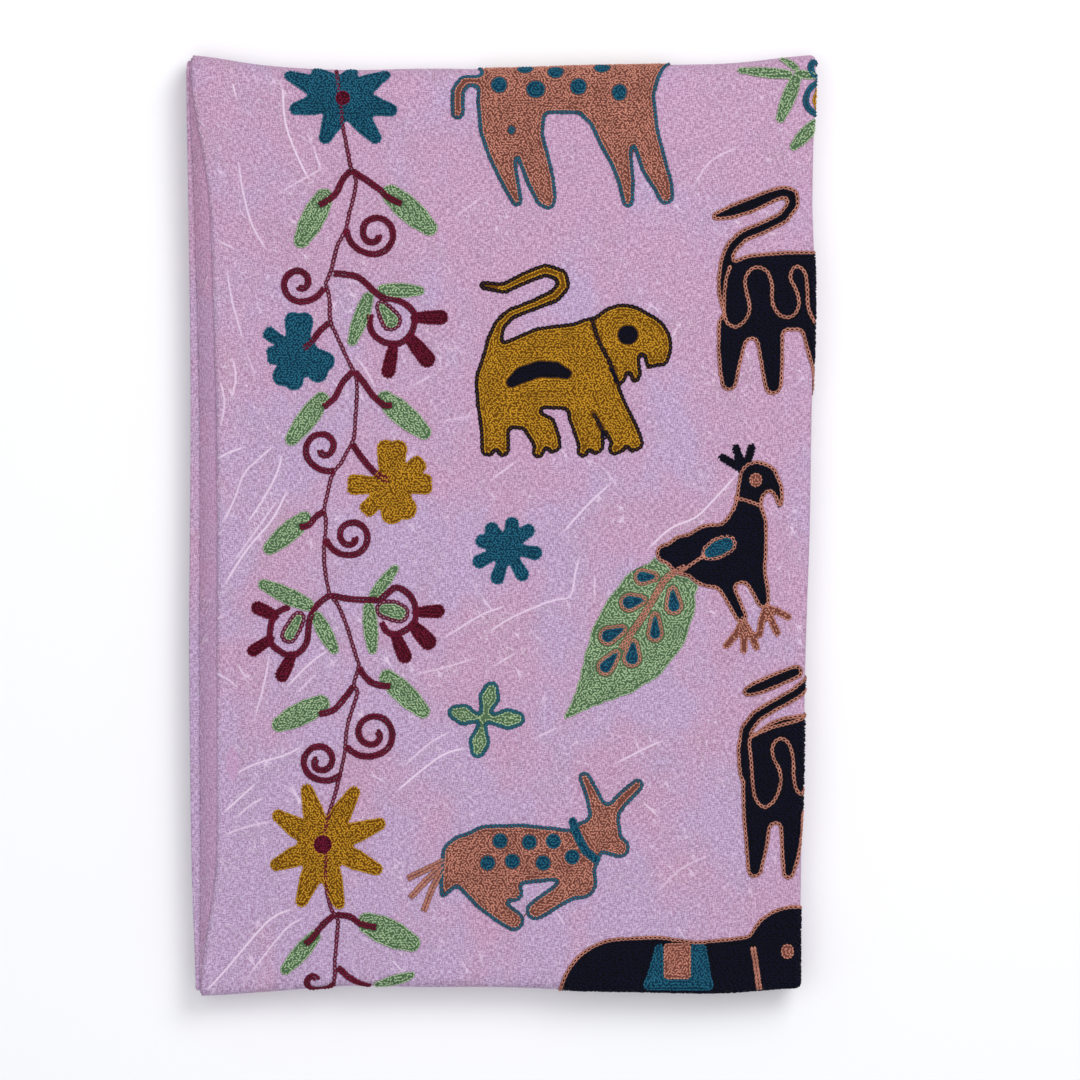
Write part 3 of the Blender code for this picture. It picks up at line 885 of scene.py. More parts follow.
def bed(ground, raised=0.0, level=BED_DEPTH):
    """A low bed of yarn under packed rows, from just over the cloth to just inside it, in the yarn's deepest
    colour as painted shade in the gaps between the stitches.
    """
    x, y, depth = ground.x[::2], ground.y[::2], ground.depth[::2, ::2]
    corners, count = triangles_at(x, y, depth, level)
    size = depth.size
    whole, tips, cut = (
        np.stack([pair_numbers(corners, size, *pair) for pair in pairs], 1)[count == inside]
        for inside, pairs in (
            (3, ((0, 0), (1, 1), (2, 2))),
            (1, ((0, 0), (0, 1), (0, 2))),
            (2, ((0, 1), (1, 1), (2, 2), (0, 2))),
        )
    )
    triangles = np.concatenate((whole, tips))
    keys = np.unique(np.concatenate((triangles.ravel(), cut.ravel())))
    if not len(keys):
        return None
    triangles, cut = np.searchsorted(keys, triangles), np.searchsorted(keys, cut)
    places = to_cloth(crossings(x, y, depth, level, keys // size, keys % size))
    edges = np.concatenate(
        [np.stack((part[:, place], part[:, (place + 1) % part.shape[1]]), 1)
         for part in (triangles, cut) for place in range(part.shape[1])]
    )
    codes = edges[:, 0] * len(keys) + edges[:, 1]
    rim = edges[~np.isin(codes, edges[:, 1] * len(keys) + edges[:, 0])]
    below = len(keys)
    walls = np.stack((rim[:, 1], rim[:, 0], rim[:, 0] + below, rim[:, 1] + below), 1)
    top = on_cloth(places[:, 0], places[:, 1], np.full(len(places), BED_TOP + raised * MM))
    base = on_cloth(places[:, 0], places[:, 1], np.full(len(places), -BED_TOP))
    faces = [
        np.concatenate((triangles, triangles[:, ::-1] + below)),
        np.concatenate((cut, cut[:, ::-1] + below, walls)),
    ]
    # Painted shade: the bed's points take the lowest tone and height share, so the bed shows the yarn's
    # deepest colour
    dark = np.full(2 * below, -1.0)
    return Work(np.concatenate((top, base)), dark, dark * 0.0, faces)


def embroider(name, colour, works):
    """Joins what is worked in one colour of one motif into a mesh that rides with the cloth."""
    works = [work for work in works if work is not None]
    offsets = np.cumsum([0] + [len(work.points) for work in works])
    groups = {}
    for work, offset in zip(works, offsets):
        for part in work.faces:
            groups.setdefault(part.shape[1], []).append(part + offset)
    corner_lists = [np.concatenate(groups[sides]) for sides in sorted(groups)]
    mesh = bpy.data.meshes.new(name + "_" + colour)
    mesh.vertices.add(offsets[-1])
    mesh.vertices.foreach_set("co", np.concatenate([work.points for work in works]).ravel())
    corners = np.concatenate([part.ravel() for part in corner_lists])
    sides = np.concatenate([np.full(len(part), part.shape[1]) for part in corner_lists])
    mesh.loops.add(len(corners))
    mesh.loops.foreach_set("vertex_index", corners.astype(np.int32))
    mesh.polygons.add(len(sides))
    mesh.polygons.foreach_set("loop_start", (np.cumsum(sides) - sides).astype(np.int32))
    for attribute, values in (
        ("stitch_tone", [work.tones for work in works]), ("yarn_top", [work.tops for work in works])
    ):
        mesh.attributes.new(attribute, "FLOAT", "POINT").data.foreach_set("value", np.concatenate(values))
    mesh.update(calc_edges=True)
    mesh.shade_smooth()
    mesh.materials.append(yarn_materials[colour])
    piece = bpy.data.objects.new(mesh.name, mesh)
    bpy.context.scene.collection.objects.link(piece)
    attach(piece, "root")
    return piece


def moved(points, at):
    """Points of a motif moved to its place in the plan."""
    return [(point[0] + at[0], point[1] + at[1]) + tuple(point[2:]) for point in points]


def beside_line(line, aside):
    """A line that keeps this far to the left of another."""
    heading = np.gradient(line, axis=0)
    heading /= np.maximum(np.hypot(*heading.T), 1e-9)[:, None]
    return line + np.stack((-heading[:, 1], heading[:, 0]), 1) * aside


def double_row(points):
    """Two rows of chain stitch side by side."""
    line = fine_line(points)
    return [beside_line(line, 1.0), beside_line(line, -1.0)]


LEAF_PROFILE = ((0.13, 0.78), (0.36, 1.0), (0.62, 0.96), (0.87, 0.66))
PETAL_PROFILE = ((0.0, 0.70), (0.4, 0.9), (1.0, 1.0))


def tapered(base, tip, half_width, profile, reach=1.0):
    """A stroke towards a tip, by a profile of shares of its length and of its half width."""
    along_x, along_y = tip[0] - base[0], tip[1] - base[1]
    return tuple(
        (base[0] + along_x * (share * reach), base[1] + along_y * (share * reach), half_width * wide)
        for share, wide in profile
    )


def petal(base, tip, half_width):
    """A petal of a ring flower, round and widest at its end, as one stroke."""
    length = math.hypot(tip[0] - base[0], tip[1] - base[1])
    return tapered(base, tip, half_width, PETAL_PROFILE, 1 - half_width / length)


def leaf(base, tip, half_width):
    """A leaf with round ends, as one stroke."""
    return tapered(base, tip, half_width, LEAF_PROFILE)


def filled(kind, strokes, at=(0, 0), holes=(), soft=2.0, raised=0.0):
    """Packed grains over the ground that strokes cover, with their bed of painted shade."""
    ground = region(strokes, at, holes, soft)
    return [bed(ground, raised), packed(kind, ground)]


def curl(start, centre, turns, way):
    """A curl that winds inwards from its start round its centre."""
    reach = math.hypot(start[0] - centre[0], start[1] - centre[1])
    first = math.atan2(start[1] - centre[1], start[0] - centre[0])
    points = []
    for step in range(33):
        share = step / 32
        shrink = np.interp(share, (0, 0.12, 0.3, 0.6, 0.8, 1), (1, 0.74, 0.60, 0.52, 0.36, 0.12))
        angle = first + way * 2 * math.pi * turns * share
        points.append(
            (centre[0] + reach * shrink * math.cos(angle), centre[1] + reach * shrink * math.sin(angle))
        )
    return points


VINE_STEM = (
    (-101.7, 285.9), (-99.9, 270.2), (-98.2, 260.6), (-97.7, 250.2), (-95.1, 237.1), (-92.5, 223.1),
    (-89.9, 217.9), (-89, 212.7), (-90.8, 203.1), (-93.4, 193.5), (-95.1, 184.8), (-97.7, 179.5),
    (-101.2, 172.4), (-104.7, 158.4), (-108.2, 149.7), (-106.9, 147.1), (-105.6, 140.1), (-105.2, 127.9),
    (-102.1, 120), (-96.9, 108.7), (-91.6, 97.4), (-89, 91.3), (-88.6, 80.8), (-89.5, 67.7),
    (-90.8, 52.9), (-95.1, 45.4), (-98.6, 38.5), (-102.5, 34.1), (-105.6, 26.3), (-107.3, 18.4),
    (-109.1, 9.7), (-107.8, 3.6), (-108.2, -5.1), (-109.1, -14.7), (-108.6, -26.1), (-107.3, -34.8),
    (-105.2, -43.5), (-101.2, -47.9), (-96, -59.2), (-91.6, -72.7), (-89, -81.5), (-87.3, -87.6),
    (-90.8, -98.9), (-88.1, -102.4), (-89.5, -108.5), (-92.5, -117.2), (-94.7, -125.9), (-95.6, -134.7),
    (-96.4, -143.4), (-98.6, -153), (-102.1, -166.9), (-106.5, -181.7), (-109.7, -197.6),
    (-107.8, -204.6), (-108.2, -214.2), (-107.3, -227.3), (-104.3, -238.6), (-100.4, -244.7),
    (-100.8, -253.4), (-101.7, -264.8), (-102.5, -272.6), (-102.1, -278.7), (-103, -284.8),
)
VINE_TWIGS = (
    ((-92.5, 220.5), (-97.7, 214.4), (-101.2, 206.6), (-106.5, 202.2), (-111.7, 199.1)),
    ((-91.6, 220.5), (-83.8, 215.3), (-75.1, 209.2), (-69, 203.9), (-61.1, 200)),
    ((-91.6, 95.6), (-97.7, 88.7), (-102.1, 79.9), (-109.1, 73.8)),
    ((-89.9, 95.6), (-84.7, 89.5), (-78.6, 80.8), (-71.6, 74.7), (-67.2, 75.1)),
    ((-109.1, 8.8), (-114.3, 5.3), (-118.7, 0.1), (-123.9, -0.8)),
    ((-91.6, 50.7), (-84.7, 41.1), (-76.8, 32.4), (-69, 28)),
    ((-87.3, -88.4), (-82.9, -94.5), (-76.8, -98.9), (-68.1, -99.8)),
    ((-90.8, -99.8), (-95.1, -105.9), (-103, -114.6), (-111.7, -117.2)),
    ((-101.2, -241.7), (-92.5, -243), (-86.4, -247.3), (-76.8, -249.5)),
    ((-103, -242.1), (-109.9, -248.2), (-116.1, -256.1), (-120.4, -260)),
    ((-100.4, -274.4), (-93.4, -280.5), (-86.4, -284.8), (-80.3, -287)),
    ((-106, 126.1), (-111.7, 120.9), (-116.1, 114.8), (-121.3, 110)),
    ((-103, 156.7), (-97.7, 156.2), (-89, 154.9), (-82.9, 150.6), (-76.8, 144.5), (-72.8, 141.7)),
    ((-104.7, -43.5), (-93.4, -45.6), (-84, -46.2), (-75, -46.4)),
)
Curl = namedtuple("Curl", "start centre turns way")
VINE_CURLS = (
    Curl((-95.1, 183.9), (-76.8, 181.3), 1.45, 1),
    Curl((-109.1, 147.9), (-124.8, 150.1), 1.25, -1),
    Curl((-102.5, 34.1), (-110.4, 48.1), 1.2, -1),
    Curl((-107.8, -8.6), (-91.6, -6.9), 1.45, 1),
    Curl((-95.1, -137.3), (-78.1, -129), 1.5, 1),
    Curl((-98.6, -154.7), (-111.7, -146), 1.5, -1),
    Curl((-103, -284.8), (-114.0, -283.1), 0.8, -1),
)
Leaf = namedtuple("Leaf", "base tip half_width")
VINE_LEAVES = (
    Leaf((-106.5, 208.3), (-125.6, 172.5), 7.6),
    Leaf((-71.6, 209.6), (-39.3, 181.3), 7.8),
    Leaf((-107.3, 82.5), (-132.6, 49.4), 6.5),
    Leaf((-75.1, 81.7), (-42.8, 54.6), 7.4),
    Leaf((-117.8, 7.1), (-146.6, -17.3), 6.5),
    Leaf((-73.3, -91.1), (-43.7, -119), 7.0),
    Leaf((-106.5, -108.5), (-141.3, -125.9), 7.4),
    Leaf((-86.4, -244.7), (-49.8, -261.3), 8.7),
    Leaf((-111.7, -251.7), (-136.1, -279.6), 5.2),
    Leaf((-79.4, -287), (-50.7, -277.9), 3.5),
    Leaf((-76.5, 146.6), (-45.5, 145.8), 4.7),
    Leaf((-80, 146), (-93.2, 110), 5.0),
    Leaf((-80.5, -46), (-62.5, -23.8), 3.9),
    Leaf((-81.6, -46.5), (-78.5, -81.5), 4.8),
    Leaf((-114.5, -51.5), (-151.5, -34.5), 5.4),
    Leaf((-115.4, -53.5), (-100.8, -80.5), 4.9),
)

# Ring flowers: an open ring on from the twig, a green drop with an edge row, and three petals
RingFlower = namedtuple("RingFlower", "ring drop petals")
RING_FLOWERS = (
    RingFlower(
        (
            (-72.8, 141.7), (-66.7, 140.8), (-61, 139), (-55.8, 135.6), (-52.6, 131), (-53, 124.7),
            (-55.8, 117.7), (-61.5, 113.6), (-67, 112.9), (-73.3, 114.8), (-78.9, 119.6), (-80.7, 125.6),
            (-80, 131),
        ),
        ((-73.4, 136.6, 1.8), (-70.5, 132, 3.4), (-67.3, 127.4, 4.6)),
        (
            Leaf((-52.3, 129.2), (-31.8, 129.5), 4.7),
            Leaf((-55.4, 116), (-41.6, 99.4), 5.4),
            Leaf((-65.9, 111.6), (-70, 91.4), 4.5),
        ),
    ),
    RingFlower(
        (
            (-75, -46.4), (-69, -41.7), (-64.5, -38.4), (-58.4, -40.8), (-53.6, -46.4), (-51.9, -53.9),
            (-53.2, -60.8), (-58.4, -65), (-65.4, -67.8), (-70.6, -65.2), (-73.2, -60.4),
        ),
        ((-71.4, -52.0, 3.6), (-66, -53, 4.6), (-62.2, -54.4, 4.2)),
        (
            Leaf((-51.4, -53.9), (-33.8, -53), 4.4),
            Leaf((-53.2, -62.6), (-40.8, -76), 5.4),
            Leaf((-64.5, -68.7), (-57, -85.4), 4.7),
        ),
    ),
    RingFlower(
        (
            (-105.5, -43.4), (-112.5, -48.6), (-116.8, -54.7), (-118.6, -62.6), (-119.4, -71.3),
            (-122.9, -77.4), (-129, -80.9), (-136, -78.3), (-142.1, -73), (-142.5, -65.2),
            (-140.4, -56.5), (-135.5, -52.6), (-130.8, -50.6),
        ),
        ((-124.8, -57.4, 2.3), (-127.6, -62.6, 3.1), (-130.6, -68, 3.4)),
        (
            Leaf((-139.6, -56), (-154, -49.4), 4.4),
            Leaf((-142.1, -70.4), (-156.2, -80), 3.9),
            Leaf((-129, -80.9), (-137, -97), 4.5),
        ),
    ),
)

# Stars: a wine dot and eight petals by their tips, on a round middle
STAR_PETAL_HALF_WIDTH, STAR_MIDDLE = 6.6, 14.5
Star = namedtuple("Star", "name colour x y dot tips")
VINE_STARS = (
    Star("upper_star", "teal", -97.3, 265.4, 4.8, (
        (-133.9, 281.5), (-130.0, 258.0), (-109.5, 237.9), (-74.6, 237.9), (-63.7, 257.1), (-68.5, 282.4),
        (-115.2, 286.3), (-91.6, 286.3),
    )),
    Star("lower_star", "mustard", -109.8, -198.2, 6.0, (
        (-140.8, -178.2), (-142.2, -212.4), (-124.4, -237.4), (-98.7, -238.8), (-72.3, -215.3),
        (-70.2, -183.9), (-88.0, -161.8), (-120.8, -160.3),
    )),
)

# Blossoms: a broad middle, and lobes by angle in degrees, reach and half spread, each with two bumps
Blossom = namedtuple("Blossom", "name colour x y middle lobes")
VINE_BLOSSOMS = (
    Blossom("upper_blossom", "teal", -125.4, 107.4, 12.5, (
        (88, 25.4, 9), (146, 25, 4.4), (186, 19.5, 6), (249, 23.2, 10), (-31, 23.4, 10.4),
    )),
    Blossom("lower_blossom", "mustard", -67.6, 24.7, 12, (
        (88, 28.8, 9.6), (38, 26, 5.6), (3, 26, 6.6), (-72, 23.4, 11.5), (225, 24.2, 5.4), (178, 27.2, 6.6),
    )),
)


def star_strokes(x, y, tips, half_width, valley):
    """The petals of a star, each a stroke from its middle to its tip."""
    strokes = [((x, y, valley),)]
    for tip_x, tip_y in tips:
        reach = math.hypot(tip_x - x, tip_y - y)
        ux, uy = (tip_x - x) / reach, (tip_y - y) / reach
        strokes.append(
            tuple(
                (x + ux * reach * share, y + uy * reach * share, half_width * wide)
                for share, wide in ((0.15, 1.0), (0.55, 1.0), (0.89, 0.62))
            )
        )
    return strokes


def blossom_strokes(x, y, middle, lobes):
    """A blossom's middle and its lobes, each with two round bumps at its end."""
    strokes = [((x, y, middle),)]
    for angle, reach, spread in lobes:
        ux, uy = math.cos(math.radians(angle)), math.sin(math.radians(angle))
        bump = 0.56 * spread + 0.5
        for hand in (-1, 1):
            aside = hand * (spread - bump)
            far = reach - bump
            strokes.append(
                ((x, y, spread * 0.7), (x + ux * far - uy * aside, y + uy * far + ux * aside, bump))
            )
    return strokes


twig_lines = []
for twig in VINE_TWIGS:
    twig_lines += double_row(twig)
for each in VINE_CURLS:
    line = np.array(curl(*each))
    twig_lines += [beside_line(line, 1.0), beside_line(line, -1.0)]
stem_lines, wine_work, green_work = [fine_line(VINE_STEM)], [], []
for flower in RING_FLOWERS:
    twig_lines += double_row(flower.ring)
    ground = region([flower.drop])
    green_work += [bed(ground), packed(FILL, ground)]
    stem_lines += level_lines(*ground, -1.2)
    for each in flower.petals:
        wine_work += filled(FILL, [petal(*each)])
for star in VINE_STARS:
    wine_work += filled(FILL, [((star.x, star.y, star.dot),)])
for each in VINE_LEAVES:
    ground = region([leaf(*each)])
    green_work += [bed(ground), packed(FILL, ground, clear_of=VINE_TWIGS, clear=2.2)]
embroider("vine", "wine", wine_work + [stitches(LINE, stem_lines), stitches(TWIG, twig_lines)])
embroider("vine", "green", green_work)
for star in VINE_STARS:
    hole = [((star.x, star.y, star.dot - 0.9),)]
    strokes = star_strokes(star.x, star.y, star.tips, STAR_PETAL_HALF_WIDTH, STAR_MIDDLE)
    embroider(star.name, star.colour, filled(FILL, strokes, holes=[hole]))
for each in VINE_BLOSSOMS:
    embroider(each.name, each.colour, filled(FILL, blossom_strokes(*each[2:]), soft=1.0))


# The deer at the far fold, which it runs over: packed rows of terracotta cotton in chain stitch, with
# an edge row and round spots in teal.
DEER_AT = (37.3, 255.9)
DEER_BODY = (
    ((-34, 17, 17.5), (42, 17, 17.5)),
    ((-34, 36, 17.5), (46, 38, 18)),
    ((46, 16, 14), (50, 26, 13), (56, 40, 13)),
    ((-30, -3, 5.5),), ((44, -3, 7),), ((18, 0, 5), (24, -2, 7)),
    ((-41.8, 8, 10), (-40.3, -9.9, 9.8), (-36.6, -23.8, 8.9), (-33, -35.6, 7.1), (-28.9, -47.5, 5.2),
     (-26.5, -54.5, 3.8)),
    ((-18.5, 4, 10.5), (-19.4, -13.9, 9.6), (-15.9, -27.7, 9.9), (-12, -40.6, 9.2), (-8.7, -51.5, 7.2),
     (-7.2, -55, 5)),
    ((24, 6, 10), (33.9, -15, 10.6), (38.8, -31, 7.2), (41.3, -42, 5.6), (42.6, -55, 3.8)),
    ((50, 6, 10), (52.5, -11, 9.3), (58.7, -32.5, 8.7), (64.3, -44.9, 6.7), (66, -51.5, 5.4)),
    ((-50, 20.3, 4), (-59, 20.3, 4.2), (-63.2, 13.9, 4.4), (-63.2, 0, 4.4)),
)
DEER_SPOTS = (
    ((-37.6, 17.8, 5.0),),
    ((-15.4, 14.9, 5.2), (-14.2, 14.9, 5.2)),
    ((11.7, 16.6, 5.0),),
    ((37.1, 12.6, 4.6), (37.1, 13.4, 4.6)),
    ((-2.6, 27, 5.0),),
    ((26.2, 31, 5.0),),
    ((-21.7, 31, 5.0),),
)


def outlined(kind, strokes, at, inside=(), lines=(), soft=2.0, holes=()):
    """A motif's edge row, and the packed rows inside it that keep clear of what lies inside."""
    ground = region(strokes, at, holes, soft)
    edge = level_lines(*ground, 1.3)
    depth = ground.depth - 2.25
    if inside:
        grid_x, grid_y = np.meshgrid(ground.x - at[0], ground.y - at[1])
        depth = np.minimum(depth, brush(grid_x, grid_y, inside, 0.3))
    lines = [moved(line, at) for line in lines]
    return edge, [bed(ground), packed(kind, Region(ground.x, ground.y, depth), clear_of=lines)]


def worked_line(points, at):
    """A smooth line of a motif at its place in the plan."""
    return fine_line(moved(points, at))


edge, fill = outlined(FILL, DEER_BODY, DEER_AT, DEER_SPOTS)
embroider("deer", "terracotta", fill)
spots = [work for spot in DEER_SPOTS for work in filled(FILL, [spot], DEER_AT, raised=0.12)]
embroider("deer", "teal", [stitches(LINE, edge)] + spots)


# The lion: packed rows of mustard cotton in chain stitch. Its edge, its eye, its neck line, the line
# between its front legs and a curved bar on its side are navy.
LION_AT = (40, 100)
LION_BODY = (
    ((-27, -12, 28.5), (-10, -3, 27), (7, -1, 27), (20, 6, 24)),
    ((37, 16, 22), (46, 11.5, 21.5)),
    ((36, -4, 8), (43.5, -6, 6)),
    ((22, -14, 12), (30, -28, 10.2), (36.7, -42, 10.4), (39.4, -46, 9.4)), ((25, -38, 3.6),),
    ((31.5, -52.5, 4.4),), ((45.4, -49, 4.6),),
    ((9, -20, 12), (13.6, -36, 9.8), (16.6, -48, 8.8)),
    ((11.8, -54, 4.2),), ((21.0, -51.5, 4.2),),
    ((-20, -24, 12), (-15, -38, 10.4), (-10.8, -47, 9.2)),
    ((-15.8, -54.2, 4.4),), ((-5.4, -50.5, 4.2),),
    ((-43.5, -22, 11.5), (-43, -38, 9.6), (-42.7, -48, 9.4)),
    ((-47.8, -53, 4.4),), ((-37.6, -53.2, 4.4),),
    ((-50.3, 49.3, 2.9), (-37, 47.4, 3.7), (-23.6, 54.1, 4.1), (-11.3, 58.9, 4.2), (-1.6, 55.3, 4.3),
     (-0.2, 49, 4.3), (-5.7, 42.6, 4.3), (-18.9, 37, 3.8), (-33, 31.6, 3.8), (-40, 24.8, 4.0),
     (-43.4, 14, 5.5), (-42, 4, 10)),
)
LION_GAPS = (
    (((60.5, -16.5, 15.2),),),
    (((-12.5, -28.8, 1.0), (-1, -31.5, 3.4)),),
    (((49.6, -3, 1.6), (48.4, 4.6, 1.0)),),
    (((40.6, -15, 2.2), (40.1, -6.6, 0.7)),),
    (((39.0, -58, 1.6), (39.1, -52.6, 0.8)),),
    (((16.3, -60, 1.6), (16.3, -54.6, 0.8)),),
    (((-10.8, -59, 1.6), (-10.8, -53.6, 0.8)),),
    (((-42.4, -60, 1.6), (-42.3, -54.6, 0.8)),),
)
LION_EYE = (((39.4, 18.4, 5.9), (40.2, 18.4, 5.9)),)
LION_BAR = (
    ((-32.6, -11.2, 3.2), (-26.0, -6.4, 5.0), (-15.1, -2.8, 5.0), (-5.6, -3.2, 5.0), (1.5, -5.6, 3.3)),
)
LION_LINES = (
    ((17.3, 28.5), (21.1, 16), (25.8, 6.5), (29.6, -1.1), (32.5, -10.6)),
    ((29.0, -2.0), (31.4, -7.0), (33.4, -11.6)),
    ((18.2, -30.5), (21.6, -36), (24.2, -41.6), (25.6, -46)),
)

edge, fill = outlined(FILL, LION_BODY, LION_AT, LION_EYE + LION_BAR, LION_LINES, 1.2, LION_GAPS)
embroider("lion", "mustard", fill)
lines = edge + [worked_line(line, LION_AT) for line in LION_LINES]
marks = filled(FILL, LION_EYE, LION_AT, raised=0.12) + filled(FILL, LION_BAR, LION_AT, raised=0.12)
embroider("lion", "navy", [stitches(LINE, lines)] + marks)


# The small flowers between the animals, in chain stitch: a teal one of eight petals, and a clover of
# four green leaves edged in teal.
Petal = namedtuple("Petal", "angle length")
TEAL_FLOWER_AT = (4.4, -13.9)
TEAL_FLOWER = (
    Petal(77, 19.8), Petal(38.5, 21.5), Petal(-10, 22.7), Petal(-59.6, 23.5),
    Petal(-107, 23.8), Petal(-153.4, 23.3), Petal(164, 20.1), Petal(127.7, 19.4),
)
CLOVER_AT = (-10, -120.5)
CLOVER = (Petal(75, 24.6), Petal(1, 26.3), Petal(-100, 24.7), Petal(166, 23.0))


def petal_strokes(petals, half_width, profile):
    """Petals round a middle, each a stroke outwards by a profile of shares and widths."""
    strokes = []
    for petal in petals:
        ux, uy = math.cos(math.radians(petal.angle)), math.sin(math.radians(petal.angle))
        far = petal.length - half_width * profile[-1][1]
        strokes.append(
            tuple((ux * far * share, uy * far * share, half_width * wide) for share, wide in profile)
        )
    return strokes


TEAL_PETAL_HALF_WIDTH, TEAL_PETAL_PROFILE = 4.5, ((0.0, 1.3), (0.45, 0.8), (1.0, 1.0))
CLOVER_HALF_WIDTH, CLOVER_PROFILE = 7.0, ((0.0, 0.25), (0.35, 0.62), (0.72, 1.0), (1.0, 0.74))
strokes = petal_strokes(TEAL_FLOWER, TEAL_PETAL_HALF_WIDTH, TEAL_PETAL_PROFILE)
embroider("star_flower", "teal", filled(FILL, strokes, TEAL_FLOWER_AT))
strokes = petal_strokes(CLOVER, CLOVER_HALF_WIDTH, CLOVER_PROFILE)
edge, fill = outlined(FILL, strokes, CLOVER_AT, soft=1.0)
embroider("clover", "green", fill)
embroider("clover", "teal", [stitches(LINE, edge)])


# The bird on its leaf: packed rows of navy cotton edged in terracotta chain stitch, with a teal drop
# on its wing, a navy crest and terracotta feet.
BIRD_AT = (137.9, -16.3)
BIRD_BODY = (
    ((-34.7, -1, 6.5), (-21.8, -2, 13.5), (-5, -2.5, 20.5), (8, -1, 19)),
    ((21.8, 45.5, 11.4),),
    ((17.8, 39.6, 8.4), (16.8, 29.7, 8.9), (15.8, 17.8, 12.9), (9.9, 2, 18)),
    ((11, -8, 15), (19.8, -13, 7.5)),
    ((28.7, 47.5, 6.4), (34.2, 39.6, 4.4), (36.4, 31.7, 2.6), (35.6, 25, 0.8)),
    ((1, -17.8, 6), (6, -27.7, 5), (12.4, -40.6, 4.2)),
    ((19.8, -12.9, 8.4), (23.6, -22.8, 6.2), (26.0, -31, 4.6)),
    ((19, 10, 10), (19.5, -4, 9)),
)
BIRD_EYE = (((21.3, 44.1, 4.0), (21.3, 45.1, 4.0)),)
WING_DROP = (((-7.2, -0.4, 3.4), (-2.5, 2, 4.6), (3.2, 4.6, 4.2)),)
BIRD_LINES = (
    ((7.9, 33.7), (15.8, 31.7), (23.8, 28.7)),
    ((-10.5, -2.5), (-17, -6.5), (-25.7, -12.9)),
)
BIRD_CREST = (
    ((12.9, 51.0), (6.5, 55), (0.5, 58.6)),
    ((13.4, 52.0), (11, 58.5), (8.9, 64.6)),
    ((15.5, 53.5), (17.2, 59), (18.6, 64.8)),
)
CREST_HALF_WIDTH = 2.5
BIRD_FEET = (
    ((13.4, -42.6), (8.5, -52), (3, -58.4)),
    ((13.4, -42.6), (13.9, -52), (13.9, -61.4)),
    ((13.4, -42.6), (18.5, -51.5), (21.8, -59.4)),
    ((27.7, -34.6), (24.8, -43), (23.8, -51.5)),
    ((27.7, -34.6), (31, -42.5), (34.7, -50.5)),
    ((27.7, -34.6), (35, -37), (41.6, -40.6)),
)
TOE_HALF_WIDTH = 2.3

edge, fill = outlined(BROAD, BIRD_BODY, BIRD_AT, BIRD_EYE + WING_DROP, BIRD_LINES)
crest = [[(x, y, CREST_HALF_WIDTH) for x, y in points] for points in BIRD_CREST]
embroider("bird", "navy", fill + filled(BROAD, crest, BIRD_AT, soft=0.5))
ground = region(WING_DROP, BIRD_AT)
feet = [[(x, y, TOE_HALF_WIDTH) for x, y in points] for points in BIRD_FEET]
lines = edge + level_lines(*ground, -1.2) + [worked_line(line, BIRD_AT) for line in BIRD_LINES]
eye = filled(FILL, BIRD_EYE, BIRD_AT, raised=0.12)
embroider("bird", "terracotta", [stitches(LINE, lines)] + filled(FILL, feet, BIRD_AT, soft=0.5) + eye)
embroider("bird", "teal", [bed(ground, 0.12), packed(FILL, ground)])


# The large leaf under the bird: packed rows of green cotton in chain stitch, a terracotta midrib, and
# teal drops edged in terracotta.
LEAF_AT = (82.8, -68.5)
LARGE_LEAF = (
    ((24.9, 36, 17), (14.2, 20.3, 25), (7.6, 7.8, 27.5), (-1.2, -5.6, 26), (-9.6, -16.7, 21.0),
     (-17, -25.2, 15.6), (-24.4, -33.2, 10.6), (-31.2, -40.4, 6.4), (-37.4, -46.8, 3.2),
     (-42.5, -51.5, 0.8)),
)
LEAF_RIB = ((32.7, 43.1), (20.8, 35.6), (13.9, 24.8), (5, 9.9), (0, 3), (-6.9, -7.9))
Drop = namedtuple("Drop", "x y length half_width angle")
LEAF_DROPS = (
    Drop(8.9, 36.6, 8.5, 3.6, 180), Drop(1.0, 21.3, 9.5, 4.3, 190), Drop(-11.9, 1.5, 10.5, 4.2, 205),
    Drop(-14.4, -16.3, 10.5, 3.8, 230), Drop(-0.2, -10.4, 10, 4.2, 265), Drop(13.9, 5.4, 10.5, 3.4, 270),
    Drop(25.2, 22.3, 10, 3.9, 275),
)


def drop_strokes(drops):
    """Drops as short strokes along their angles."""
    strokes = []
    for drop in drops:
        ux, uy = math.cos(math.radians(drop.angle)), math.sin(math.radians(drop.angle))
        far = max(drop.length - drop.half_width, 0.5)
        strokes.append((
            (drop.x - ux * far, drop.y - uy * far, drop.half_width * 0.3),
            (drop.x + ux * far * 0.6, drop.y + uy * far * 0.6, drop.half_width),
        ))
    return strokes


drops = drop_strokes(LEAF_DROPS)
bird_over_leaf = [moved(stroke, np.subtract(BIRD_AT, LEAF_AT)) for stroke in BIRD_BODY]
ground = region(LARGE_LEAF, LEAF_AT, holes=[bird_over_leaf])
grid_x, grid_y = np.meshgrid(ground.x - LEAF_AT[0], ground.y - LEAF_AT[1])
depth = np.minimum(ground.depth, brush(grid_x, grid_y, drops, 0.3) - 2.2)
rib = [moved(LEAF_RIB, LEAF_AT)]
fill = packed(FILL, Region(ground.x, ground.y, depth), clear_of=rib, clear=2.6)
embroider("large_leaf", "green", [bed(ground), fill])
lines, drop_work = double_row(rib[0]), []
for drop in drops:
    ground = region([drop], LEAF_AT)
    lines += level_lines(*ground, -1.0)
    drop_work += [bed(ground, 0.12), packed(FILL, ground)]
embroider("large_leaf", "terracotta", [stitches(LINE, lines)])
embroider("large_leaf", "teal", drop_work)


